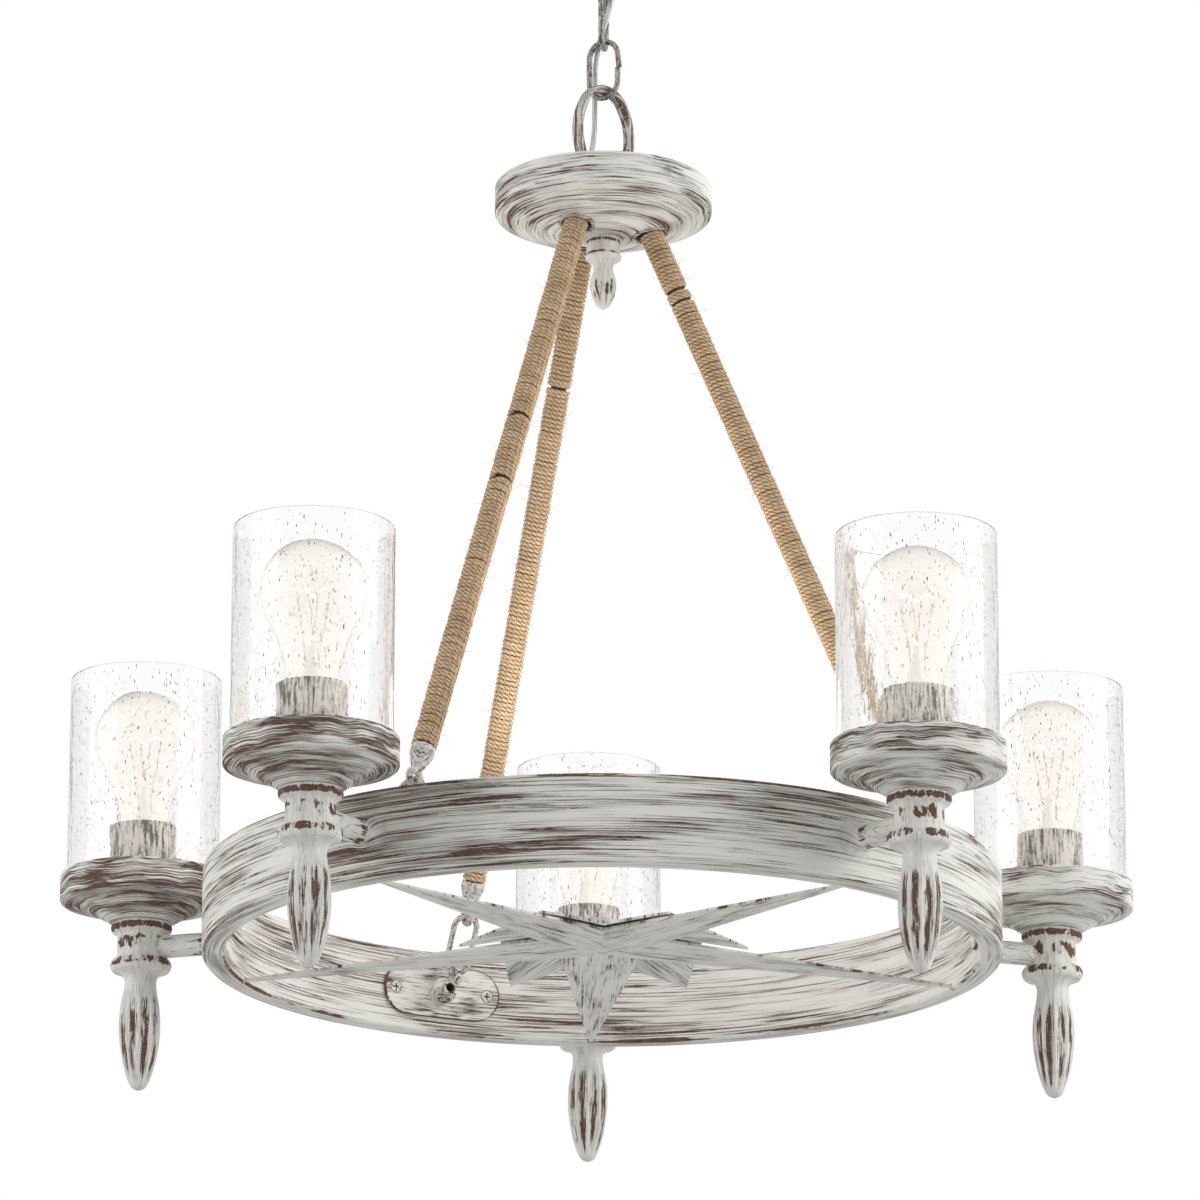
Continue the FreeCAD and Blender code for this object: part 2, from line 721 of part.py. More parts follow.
def rope_wrap(breaks):
    """Twine winding as a sleeve of slightly bulging bands, parted at its breaks, at azimuth 0."""
    inner = rod_r + close_fit
    span = rope_end - rope_start
    cuts = [-rope_start - span * share for share in breaks]
    levels = [-rope_start - span * index / rope_bands for index in range(rope_bands + 1)]
    half = rope_break_width / 2
    edges = []
    previous = FreeCAD.Vector(inner, 0, levels[0])
    first = previous
    marks = sorted([(z, False) for z in levels] + [(z, True) for z in cuts], reverse=True)
    marks = [m for m in marks if m[1] or all(abs(m[0] - c) > rope_break_width * 2 for c in cuts)]
    for (upper, upper_cut), (lower, lower_cut) in zip(marks, marks[1:]):
        top_z = upper - half if upper_cut else upper
        foot_z = lower + half if lower_cut else lower
        top = FreeCAD.Vector(rope_r, 0, top_z)
        foot = FreeCAD.Vector(rope_r, 0, foot_z)
        crown = FreeCAD.Vector(rope_r + rope_bulge, 0, (top_z + foot_z) / 2)
        if previous.distanceToPoint(top) > seat_gap / 2:
            edges.append(Part.LineSegment(previous, top).toShape())
        edges.append(Part.Arc(top, crown, foot).toShape())
        previous = foot
        if lower_cut:
            groove = [FreeCAD.Vector(rope_break_r, 0, z) for z in (foot_z, foot_z - rope_break_width)]
            edges.append(Part.LineSegment(previous, groove[0]).toShape())
            edges.append(Part.LineSegment(groove[0], groove[1]).toShape())
            previous = groove[1]
    last = FreeCAD.Vector(inner, 0, levels[-1])
    edges.append(Part.LineSegment(previous, last).toShape())
    edges.append(Part.LineSegment(last, first).toShape())
    return along_rod(turned(Part.Face(Part.Wire(edges))))


def rod_hook():
    """Ferrule that tapers to a round eye, at azimuth 0."""
    taper_z = -rope_end - ferrule_straight
    neck_z = -rod_run.Length + hook_path_r
    ferrule = turned(trace(
        (0, -rope_end - weld),
        (0, neck_z),
        (ferrule_small_r - 1, neck_z),
        (ferrule_small_r, neck_z + hook_wire_r),
        (ferrule_r, taper_z),
        (ferrule_r, -rope_end),
        (rod_r + close_fit, -rope_end),
        (rod_r + close_fit, -rope_end - weld)))
    plug = disc(rod_r - rod_wall - close_fit, -rope_end - weld * 2, ferrule_plug_length)
    eye = bent_bar(round_section(hook_wire_r), (0, -rod_run.Length), hook_path_r, 0, 360)
    return along_rod(joined(ferrule, plug, eye))


def bracket_link():
    """Closed oval link between a rod's eye and its bracket, at azimuth 0."""
    bow_r = bracket_link_width / 2 - link_wire_r
    straight = link_pitch / 2 - bow_r
    section = round_section(link_wire_r)
    link = joined(
        bent_bar(section, (0, straight), bow_r, 0, 180),
        bent_bar(section, (0, -straight), bow_r, 180, 360),
        rod_between(FreeCAD.Vector(-bow_r, 0, -straight), FreeCAD.Vector(-bow_r, 0, straight), link_wire_r),
        rod_between(FreeCAD.Vector(bow_r, 0, -straight), FreeCAD.Vector(bow_r, 0, straight), link_wire_r))
    link = link.rotate(origin, z_axis, 90).rotate(origin, y_axis, -bracket_link_lean)
    return link.translate((hang["link_head"] + hang["link_foot"]) / 2)


def boss_turn():
    """Angle from a rod's plane to the middle of its bracket."""
    return math.degrees(boss_side_offset / ring_inner_r)


def bracket_plate():
    """Curved plate with round ends and two countersunk holes, centred at azimuth 0."""
    back_r = ring_inner_r - close_fit
    shell = turned(trace(
        (ring_inner_r - plate_thickness, ring_mid_z - plate_height / 2),
        (back_r, ring_mid_z - plate_height / 2),
        (back_r, ring_mid_z + plate_height / 2),
        (ring_inner_r - plate_thickness, ring_mid_z + plate_height / 2)))
    round_r = plate_height / 2
    straight = plate_length / 2 - round_r
    start = FreeCAD.Vector(ring_inner_r / 2, 0, ring_mid_z)
    stencil = Part.makeBox(ring_inner_r, 2 * straight, plate_height,
                           start - y_axis * straight - z_axis * round_r)
    for side in (-1, 1):
        end = start + y_axis * (side * straight)
        stencil = stencil.fuse(Part.makeCylinder(round_r, ring_inner_r, end, x_axis))
    return shell.common(stencil.removeSplitter())


def ring_bracket():
    """Plate with a round boss, a hollow nipple and a lug eye for the link, in the rod's plane."""
    boss_face = ring_inner_r - plate_thickness - boss_height
    boss = Part.makeCylinder(boss_r, boss_height + plate_thickness / 2,
                             FreeCAD.Vector(boss_face, 0, ring_mid_z), x_axis)
    rim = [e for e in boss.Edges
           if e.BoundBox.XMax < boss_face + seat_gap and e.BoundBox.XLength < seat_gap]
    boss = boss.makeFillet(boss_edge_r, rim)
    nipple = Part.makeCylinder(nipple_r, nipple_height + weld,
                               FreeCAD.Vector(boss_face - nipple_height, 0, ring_mid_z), x_axis)
    bore = Part.makeCylinder(nipple_bore_r, nipple_height + boss_height - plate_thickness,
                             FreeCAD.Vector(boss_face - nipple_height, 0, ring_mid_z), x_axis)
    body = joined(bracket_plate(), boss, nipple).cut(bore)
    sinks = [spun(screw_sink(seat_gap), side * screw_turn()) for side in (-1, 1)]
    body = spun(body.cut(sinks), boss_turn())
    above_wire = link_wire_r + lug_wire_r + running_gap
    centre = hang["link_foot"] + hang["downward"] * (lug_path_r - above_wire)
    eye = bent_bar(round_section(lug_wire_r), (centre.x, centre.z), lug_path_r, 0, 360)
    root = centre + FreeCAD.Vector(1, 0, -1) * (lug_path_r / math.sqrt(2))
    seat = FreeCAD.Vector(ring_inner_r - plate_thickness / 2, 0, root.z)
    return joined(body, eye, rod_between(root, seat, lug_stem_r))


def screw_turn():
    """Angle from the middle of a bracket to each of its screws."""
    return math.degrees(bracket_screw_spacing / 2 / ring_inner_r)


def screw_profile(gap):
    """Outline of a countersunk screw about X, pointing outwards from the plate's inner face."""
    face = ring_inner_r - plate_thickness
    head = Part.makeCone(screw_head_r + gap, screw_shank_r + gap, screw_head_height,
                         FreeCAD.Vector(face, 0, ring_mid_z), x_axis)
    shank = Part.makeCylinder(screw_shank_r + gap, screw_length + gap,
                              FreeCAD.Vector(face, 0, ring_mid_z), x_axis)
    return joined(head, shank)


def screw_sink(gap):
    """Hole for a screw, open towards the ring's axis."""
    face = ring_inner_r - plate_thickness
    mouth = Part.makeCylinder(screw_head_r + gap, overrun,
                              FreeCAD.Vector(face - overrun, 0, ring_mid_z), x_axis)
    return joined(screw_profile(gap), mouth)


def bracket_screw():
    """Countersunk screw with a cross recess, at the middle of its bracket."""
    face = ring_inner_r - plate_thickness
    screw = screw_profile(0)
    slots = []
    long, slim = screw_cross_length, screw_cross_width
    for size_y, size_z in ((long, slim), (slim, long)):
        corner = FreeCAD.Vector(face - overrun, -size_y / 2, ring_mid_z - size_z / 2)
        slots.append(Part.makeBox(overrun + screw_cross_depth, size_y, size_z, corner))
    return screw.cut(slots)


def ring():
    """Turned ring, bored for the arms' tenons and the screws, and notched for the star's tips."""
    top = ring_top_z - ring_edge_r
    foot = ring_foot_z + ring_edge_r
    inner = ring_inner_r + ring_edge_r
    outer = ring_outer_r - ring_edge_r
    body = turned(trace(
        ((outer, top), ring_edge_r, 0, 90),
        ((inner, top), ring_edge_r, 90, 180),
        ((inner, foot), ring_edge_r, 180, 270),
        ((outer, foot), ring_edge_r, 270, 360)))
    socket_start = ring_outer_r - arm_tenon_length - seat_gap
    socket = Part.makeCylinder(arm_tenon_r + seat_gap, ring_outer_r + overrun - socket_start,
                               FreeCAD.Vector(socket_start, 0, ring_mid_z), x_axis)
    notch_top = star_tip_z + sheet_thickness + star_tip_half_width
    notch_half = 2 * star_tip_half_width
    notch = Part.makeBox(star_tip_into_ring + running_gap + overrun, 2 * notch_half,
                         notch_top - ring_foot_z + overrun,
                         FreeCAD.Vector(ring_inner_r - overrun, -notch_half, ring_foot_z - overrun))
    tools = []
    for azimuth in lamp_azimuths:
        tools.append(spun(socket, azimuth))
        tools.append(spun(notch, azimuth))
    for azimuth in rod_azimuths:
        for side in (-1, 1):
            tools.append(spun(screw_sink(seat_gap), azimuth + boss_turn() + side * screw_turn()))
    return body.cut(tools)


def folded_star(azimuths, tip_r, half_width, valley_r, centre_z, tip_z, valley_z):
    """Five-pointed sheet: each arm folds down to a ridge along its middle."""
    half_step = 180 / len(azimuths)
    valley_x = valley_r * math.cos(math.radians(half_step))
    valley_y = valley_r * math.sin(math.radians(half_step))
    along = (tip_z - centre_z) / tip_r
    across = (valley_z - centre_z - along * valley_x) / valley_y
    prisms = []
    for azimuth in azimuths:
        for side in (-1, 1):
            corners = [FreeCAD.Vector(0, 0, centre_z),
                       FreeCAD.Vector(tip_r, 0, tip_z),
                       FreeCAD.Vector(tip_r, side * half_width, tip_z + across * half_width),
                       FreeCAD.Vector(valley_x, side * valley_y, valley_z)]
            face = Part.Face(Part.makePolygon(corners + corners[:1]))
            prisms.append(spun(face.extrude(z_axis * sheet_thickness), azimuth))
    return joined(*prisms)


def star_long():
    """Long star, with the stud that carries the short one."""
    sheet = folded_star(lamp_azimuths, star_tip_r, star_tip_half_width, star_valley_r,
                        star_centre_z, star_tip_z, star_tip_z + star_valley_rise)
    stud_foot = star_centre_z + weld
    stud_top = short_centre_z - short_tip_below_centre * stud_r / short_tip_r
    post = disc(stud_r, stud_foot, stud_top - stud_foot)
    thread = disc(stud_thread_r, stud_top, stud_thread_length)
    return joined(sheet, post, thread)


def star_short():
    """Short star, with a hole for the stud; its points stand between the long arms."""
    half_step = 180 / len(lamp_azimuths)
    sheet = folded_star([a + half_step for a in lamp_azimuths], short_tip_r, short_tip_half_width,
                        short_valley_r, short_centre_z, short_centre_z - short_tip_below_centre,
                        short_centre_z - short_valley_below_centre)
    hole = disc(stud_thread_r + seat_gap, short_centre_z - overrun, 2 * overrun)
    return sheet.cut(hole)


def star_nut():
    """Hexagon nut on the stud."""
    corner_r = nut_width / math.sqrt(3)
    bore_r = stud_thread_r + seat_gap
    foot = short_centre_z + sheet_thickness - short_valley_below_centre * bore_r / short_valley_r
    corners = [polar(corner_r, 60 * k, foot) for k in range(7)]
    nut = Part.Face(Part.makePolygon(corners)).extrude(z_axis * nut_height)
    return nut.cut(disc(bore_r, foot - overrun, nut_height + 2 * overrun))


def stem_neck(top_z):
    """Shallow-fluted neck between the two beads."""
    edge_r = stem_top_r
    slim_r = stem_neck_r
    depth = stem_neck_flute_depth
    foot_z = top_z - stem_neck_height
    wires = [fluted_section(edge_r, 0, top_z, drop_flutes),
             fluted_section(slim_r, depth, top_z - neck_cove_height, drop_flutes),
             fluted_section(slim_r, depth, (top_z + foot_z) / 2, drop_flutes),
             fluted_section(slim_r, depth, foot_z + neck_cove_height, drop_flutes),
             fluted_section(edge_r, 0, foot_z, drop_flutes)]
    return Part.makeLoft(wires, True, False)


def lamp_arm():
    """Arm from the stem's neck to the ring, flared where it meets it, with a tenon; along -X."""
    reach = lamp_r - ring_outer_r
    flare = arm_flare_r - arm_r
    flare_start = reach - arm_flare_length
    bend_share = cove_bend_shares[0]
    bend = (flare_start + arm_flare_length * bend_share, arm_r + flare * (1 - bend_share))
    arm = trace(
        (0, 0),
        (0, arm_r),
        ((flare_start, arm_r), bend, (reach, arm_flare_r)),
        (reach + overrun, arm_flare_r),
        (reach + overrun, 0)).revolve(origin, x_axis, 360)
    ring_face = Part.makeCylinder(ring_outer_r, 4 * arm_flare_r,
                                  FreeCAD.Vector(lamp_r, 0, -2 * arm_flare_r))
    tenon = Part.makeCylinder(arm_tenon_r, arm_tenon_length + weld,
                              FreeCAD.Vector(reach - weld, 0, 0), x_axis)
    arm = joined(arm.cut(ring_face), tenon)
    return arm.rotate(origin, z_axis, 180).translate(z_axis * ring_mid_z)


def lamp_stem():
    """Turned stem with two beads, a fluted drop, an arm and tenons; its axis is Z."""
    neck_top_z = stem_top_z - upper_bead_height
    lower_top_z = neck_top_z - stem_neck_height
    cove_top_z = lower_top_z - lower_bead_height
    drop_top_z = cove_top_z - stem_cove_height
    neck_r = drop_bulge_r * drop_shares[0][1]
    upper = turned(trace(
        (0, stem_top_z + stem_tenon_length),
        (stem_tenon_r, stem_top_z + stem_tenon_length),
        (stem_tenon_r, stem_top_z),
        bead(stem_top_z, upper_bead_height, stem_top_r, bead_r),
        (0, neck_top_z)))
    lower = turned(trace(
        (0, lower_top_z),
        bead(lower_top_z, lower_bead_height, stem_top_r, bead_r),
        cove(cove_top_z, stem_cove_height, stem_top_r, neck_r),
        (0, drop_top_z)))
    drop = fluted_drop(drop_top_z, drop_length, drop_bulge_r, drop_flute_depth, drop_flutes)
    return joined(upper, stem_neck(neck_top_z), lower, drop, lamp_arm())


def bobeche():
    """Turned dish with a rim, a curved underside and a recess for the glass."""
    rim = dish_r - dish_edge_r
    recess_r = shade_r + running_gap
    hole_r = stem_tenon_r + seat_gap
    span = rim - dish_foot_r
    sweep = (dish_foot_r + span * dish_sweep_shares[0], stem_top_z + dish_bowl_depth * dish_sweep_shares[1])
    return turned(trace(
        (hole_r, stem_top_z),
        ((dish_foot_r, stem_top_z), sweep, (rim, dish_rim_foot_z)),
        ((rim, dish_rim_foot_z + dish_edge_r), dish_edge_r, -90, 0),
        ((rim, dish_top_z - dish_edge_r), dish_edge_r, 0, 90),
        (recess_r, dish_top_z),
        (recess_r, dish_floor_z),
        (hole_r, dish_floor_z)))


def shade():
    """Glass cylinder, open at the top, with a holed floor that the clamping ring holds."""
    top = dish_floor_z + shade_height
    mid_r = shade_r - shade_wall / 2
    inner = shade_r - shade_wall
    return turned(trace(
        (shade_hole_r, dish_floor_z),
        ((shade_r - shade_edge_r, dish_floor_z + shade_edge_r), shade_edge_r, -90, 0),
        ((mid_r, top - shade_wall / 2), shade_wall / 2, 0, 180),
        (inner, shade_floor_z),
        (shade_hole_r, shade_floor_z)))


def lamp_socket():
    """Socket cup that takes the bulb's cap."""
    return turned(trace(
        (0, dish_floor_z),
        (socket_r, dish_floor_z),
        (socket_r, dish_floor_z + socket_height),
        (socket_bore_r, dish_floor_z + socket_height),
        (socket_bore_r, dish_floor_z + socket_floor),
        (0, dish_floor_z + socket_floor)))


def clamp_ring():
    """Ring threaded on the socket, which holds the glass down."""
    return turned(trace(
        (socket_r + seat_gap, shade_floor_z),
        (clamp_ring_r, shade_floor_z),
        (clamp_ring_r, shade_floor_z + clamp_ring_height),
        (socket_r + seat_gap, shade_floor_z + clamp_ring_height)))


def socket_cover():
    """Plain sleeve round the socket."""
    return turned(trace(
        (cover_r - cover_wall, shade_floor_z),
        (cover_r, shade_floor_z),
        (cover_r, shade_floor_z + cover_height),
        (cover_r - cover_wall, shade_floor_z + cover_height)))


def bulb_cap():
    """Metal cap with its contact."""
    shoulder = bulb_foot_z + bulb_contact_height
    return turned(trace(
        (0, bulb_foot_z),
        (bulb_contact_r, bulb_foot_z),
        (bulb_cap_r, shoulder),
        (bulb_cap_r, bulb_foot_z + bulb_cap_height),
        (0, bulb_foot_z + bulb_cap_height)))


def bulb_lines(wall):
    """Neck and globe of the glass, each as an arc through three points, set in by a wall."""
    foot_z = bulb_foot_z + bulb_cap_height
    centre = (0, bulb_foot_z + bulb_length - bulb_globe_r)
    globe = [on_arc(centre, bulb_globe_r - wall, a)
             for a in (globe_start_angle, (globe_start_angle + 90) / 2, 90)]
    neck_r = bulb_neck_r - wall
    middle = (neck_r + (globe[0].x - neck_r) * bulb_neck_slim_share,
              foot_z + (globe[0].z - foot_z) * bulb_neck_mid_share)
    return ((neck_r, foot_z), middle, (globe[0].x, globe[0].z)), tuple((p.x, p.z) for p in globe)


def bulb_envelope():
    """Hollow glass of the bulb, open at its neck where the cap closes it."""
    outer_neck, outer_globe = bulb_lines(0)
    inner_neck, inner_globe = bulb_lines(bulb_wall)
    return turned(trace(outer_neck, outer_globe, inner_globe[::-1], inner_neck[::-1]))


def at_lamp(shape, azimuth):
    """Copy of a lamp piece, its arm towards the ring, at one lamp's place."""
    return moved(spun(shape, azimuth), polar(lamp_r, azimuth, 0))


def save(name, *solids):
    """Writes one sub-part and says what it holds."""
    shape = solids[0] if len(solids) == 1 else Part.makeCompound(list(solids))
    shape.exportStep("parts/" + name + ".step")
    print(name, "solids", len(shape.Solids), "valid", shape.isValid(), "volume", round(shape.Volume))


def save_ceiling_and_chain():
    save("crossbar", crossbar())
    save("ceiling_canopy", ceiling_canopy())
    save("canopy_collar", canopy_collar())
    save("canopy_loop", canopy_loop())
    link = chain_link()
    for index, (top_z, turn) in enumerate(zip(link_top_zs, link_turns)):
        place = z_axis * (top_z - link_pitch / 2)
        save("chain_link_%d" % (index + 1), moved(spun(link, turn), place))
    save("supply_cord", supply_cord())


def save_hub():
    save("hub_loop", hub_loop())
    save("hub_plate", hub_plate())
    save("hub_eyes", *[spun(hub_eye(), azimuth) for azimuth in rod_azimuths])
    save("hub_finial", hub_finial())
    save("cord_bush", cord_bush())


def save_rods():
    tube = rod_tube()
    hook = rod_hook()
    for index, azimuth in enumerate(rod_azimuths):
        number = str(index + 1)
        save("rod_tube_" + number, spun(tube, azimuth))
        save("rope_wrap_" + number, spun(rope_wrap(rope_break_shares[index]), azimuth))
        save("rod_hook_" + number, spun(hook, azimuth))


def save_ring():
    save("ring", ring())
    save("star_long", star_long())
    save("star_short", star_short())
    save("star_nut", star_nut())
    bracket = ring_bracket()
    link = bracket_link()
    screws = []
    for index, azimuth in enumerate(rod_azimuths):
        save("ring_bracket_%d" % (index + 1), spun(bracket, azimuth))
        save("bracket_link_%d" % (index + 1), spun(link, azimuth))
        for side in (-1, 1):
            screws.append(spun(bracket_screw(), azimuth + boss_turn() + side * screw_turn()))
    save("bracket_screws", *screws)


def save_lamps():
    pieces = {"lamp_stem": lamp_stem(), "bobeche": bobeche(), "shade": shade(),
              "socket_cover": socket_cover()}
    bulb = (bulb_cap(), bulb_envelope())
    for index, azimuth in enumerate(lamp_azimuths):
        number = "_%d" % (index + 1)
        for name, piece in pieces.items():
            save(name + number, at_lamp(piece, azimuth))
        save("bulb" + number, *[at_lamp(piece, azimuth) for piece in bulb])
    save("lamp_sockets", *[at_lamp(lamp_socket(), azimuth) for azimuth in lamp_azimuths])
    save("shade_rings", *[at_lamp(clamp_ring(), azimuth) for azimuth in lamp_azimuths])


os.makedirs("parts", exist_ok=True)
save_ceiling_and_chain()
save_hub()
save_rods()
save_ring()
save_lamps()
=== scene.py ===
# A five-light chandelier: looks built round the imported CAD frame. Lengths are in metres.
import json
import math
import random

import bmesh
import bpy
from mathutils import Matrix, Vector


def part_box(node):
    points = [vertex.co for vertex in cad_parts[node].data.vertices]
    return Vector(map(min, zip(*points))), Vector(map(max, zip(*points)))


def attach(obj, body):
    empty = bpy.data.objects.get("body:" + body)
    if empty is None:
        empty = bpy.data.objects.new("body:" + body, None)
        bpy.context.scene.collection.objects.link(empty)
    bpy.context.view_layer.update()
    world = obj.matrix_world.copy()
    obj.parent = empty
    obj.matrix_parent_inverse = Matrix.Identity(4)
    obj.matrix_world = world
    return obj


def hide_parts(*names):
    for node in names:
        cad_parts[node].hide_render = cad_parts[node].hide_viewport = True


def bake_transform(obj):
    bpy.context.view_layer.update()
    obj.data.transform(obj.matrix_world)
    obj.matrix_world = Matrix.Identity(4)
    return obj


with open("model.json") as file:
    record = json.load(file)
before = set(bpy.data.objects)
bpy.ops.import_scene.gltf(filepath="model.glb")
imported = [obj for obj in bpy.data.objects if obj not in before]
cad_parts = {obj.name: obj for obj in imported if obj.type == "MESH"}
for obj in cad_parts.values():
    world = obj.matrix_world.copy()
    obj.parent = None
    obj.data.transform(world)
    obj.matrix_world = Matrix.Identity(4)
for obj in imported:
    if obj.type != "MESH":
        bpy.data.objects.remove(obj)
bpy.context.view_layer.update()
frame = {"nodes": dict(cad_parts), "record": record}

# Azimuths of the rods and lamps, in degrees
RODS = (114.0, 234.0, 354.0)
LAMPS = (90.0, 162.0, 234.0, 306.0, 18.0)

# Chain and hub, from the ceiling down
CANOPY_R = 0.0635
CANOPY_FOOT = -0.029
CANOPY_LOOP_Z = -0.053
CANOPY_LOOP_REACH = 0.0155
LINK_Z = (-0.0822, -0.1149, -0.1476)
LINK_REACH = 0.01825
LINK_STRAIGHT = 0.0085
HUB_LOOP_Z = -0.1896
HUB_LOOP_STRAIGHT = 0.0098
HUB_R = 0.066
HUB_RIM_HEIGHT = 0.0195
FINIAL_DROP = 0.026
FINIAL_BULGE_R = 0.0080

# Rods and their winding
ROD_TOP = (0.02757, -0.25102)
ROD_EYE = (0.19028, -0.63823)
TUBE_R = 0.00475
ROPE_START = 0.0032
ROPE_END_TO_EYE = 0.021
ROPE_BREAK_SHARES = ((0.22,), (0.39, 0.51), (0.105, 0.125))
TWINE_R = 0.00138
TWINE_PITCH = 0.00268
TWINE_STEPS = 20
WINDING_GAP = 0.0003
FIBRES = 380
FIBRE_R = 0.00009
FIBRE_FOOT_R = 0.0070

# Ring, star and brackets
RING_INNER_R = 0.222
RING_OUTER_R = 0.236
RING_MID = -0.6813
LONG_VALLEY_R = 0.040
SHORT_VALLEY_R = 0.063
FOLD_WIDTH = 0.0006
PLATE_HALF_RUN = 0.023
BOSS_TURN = math.degrees(0.005 / RING_INNER_R)
SCREW_FROM_BOSS = 0.0315
NIPPLE_BORE_R = 0.00275
BRACKET_LINK_MIDDLE = (0.19932, -0.65495)
BRACKET_LINK_LEAN = math.radians(28.4)
BRACKET_LINK_STRAIGHT = 0.01075

# Lamps
LAMP_R = 0.289
DROP_LENGTH = 0.0675
DROP_BULGE_R = 0.0130
DISH_R = 0.0496
DISH_RIM_HEIGHT = 0.0178
DISH_FLOOR = -0.6411
SHADE_R = 0.046
SHADE_WALL = 0.003
SHADE_HEIGHT = 0.127
SHADE_HOLE_R = 0.0168
SHADE_ROUNDING = 0.0012
SEED_LOTS = 13
SEEDS_IN_A_LOT = 100
BULB_FOOT = DISH_FLOOR + 0.0106
BULB_CAP_TOP = BULB_FOOT + 0.022
BULB_CENTRE = BULB_FOOT + 0.079
BULB_R = 0.0305
FILAMENT_HALF = 0.0095
FILAMENT_WAVE = 0.0022
FILAMENT_R = 0.00014
LEAD_R = 0.00024
COIL_R = 0.00055
COIL_TURNS = 30
COIL_STEPS = 240
REPEAT_TURN = 65.0

# Edges between a drop's flutes: shares of its length from its top, and of its bulge's radius there
DROP_SHARES = ((0.0, 0.742), (0.09, 0.78), (0.20, 0.895), (0.36, 0.99), (0.50, 0.985), (0.66, 0.88),
               (0.80, 0.715), (0.90, 0.54), (0.955, 0.40), (1.0, 0.10))

# Supply cord
CORD_R = 0.00175
CORD_OVERLAP = 0.0012
CORD_BEND = 0.012
CORD_ROUTE = (
    (0.0, 0.0, -0.010), (0.0, 0.0, -0.042), (0.0065, 0.0037, -0.0656), (0.0063, 0.0044, -0.0999),
    (-0.0043, 0.0062, -0.1308), (-0.0050, 0.0123, -0.1631), (-0.0050, 0.0077, -0.1900),
    (-0.0103, 0.0084, -0.2110), (-0.0103, 0.0084, -0.2320),
)

# Camera of the photograph, with its pitch in radians and its turn and roll in degrees
CAMERA_PITCH = 0.2856
CAMERA_DISTANCE = 4.075
CAMERA_SHIFT_X = -0.0016
CAMERA_HEIGHT_OFFSET = -0.486
CAMERA_TURN = -1.74
CAMERA_LENS = 204.2
CAMERA_ROLL = 0.1


def place_camera():
    """Camera below the lamps, looking up at the photograph's angle."""
    data = bpy.data.cameras.new("camera")
    data.sensor_width = 36.0
    data.lens = CAMERA_LENS
    data.clip_start = 0.1
    data.clip_end = 100.0
    camera = bpy.data.objects.new("camera", data)
    bpy.context.scene.collection.objects.link(camera)
    place = Matrix.Translation((
        CAMERA_SHIFT_X,
        -CAMERA_DISTANCE * math.cos(CAMERA_PITCH),
        -CAMERA_DISTANCE * math.sin(CAMERA_PITCH) + CAMERA_HEIGHT_OFFSET,
    ))
    aim = Matrix.Rotation(math.pi / 2 + CAMERA_PITCH, 4, "X")
    aim = aim @ Matrix.Rotation(math.radians(CAMERA_ROLL), 4, "Z")
    camera.matrix_world = Matrix.Rotation(math.radians(CAMERA_TURN), 4, "Z") @ place @ aim
    bpy.context.scene.camera = camera


# Shader maths
class Value:
    """One shader socket. Arithmetic on it adds Math nodes."""

    def __init__(self, finish, socket):
        self.finish = finish
        self.socket = socket

    def maths(self, operation, *given, clamp=False):
        settings = {"operation": operation, "use_clamp": clamp}
        return self.finish.add("Math", settings, dict(enumerate(given))).out(0)

    def __add__(self, other):
        return self.maths("ADD", self, other)

    __radd__ = __add__

    def __sub__(self, other):
        return self.maths("SUBTRACT", self, other)

    def __rsub__(self, other):
        return self.maths("SUBTRACT", other, self)

    def __mul__(self, other):
        return self.maths("MULTIPLY", self, other)

    def __truediv__(self, other):
        return self.maths("DIVIDE", self, other)

    def __pow__(self, other):
        return self.maths("POWER", self, other)

    def clamped(self):
        return self.maths("ADD", self, 0.0, clamp=True)

    def distance_to(self, other):
        return self.maths("ABSOLUTE", self - other)

    def wave(self):
        return self.maths("SINE", self)

    def most(self, other):
        return self.maths("MAXIMUM", self, other)

    def least(self, other):
        return self.maths("MINIMUM", self, other)

    def step(self, low, high):
        """0 below low, 1 above high, smooth between."""
        settings = {"interpolation_type": "SMOOTHSTEP"}
        sockets = {"Value": self, "From Min": low, "From Max": high}
        return self.finish.add("MapRange", settings, sockets).out("Result")


class Made:
    """A node that was added, whose outputs are read as values."""

    def __init__(self, finish, node):
        self.finish = finish
        self.node = node

    def out(self, name):
        return Value(self.finish, self.node.outputs[name])


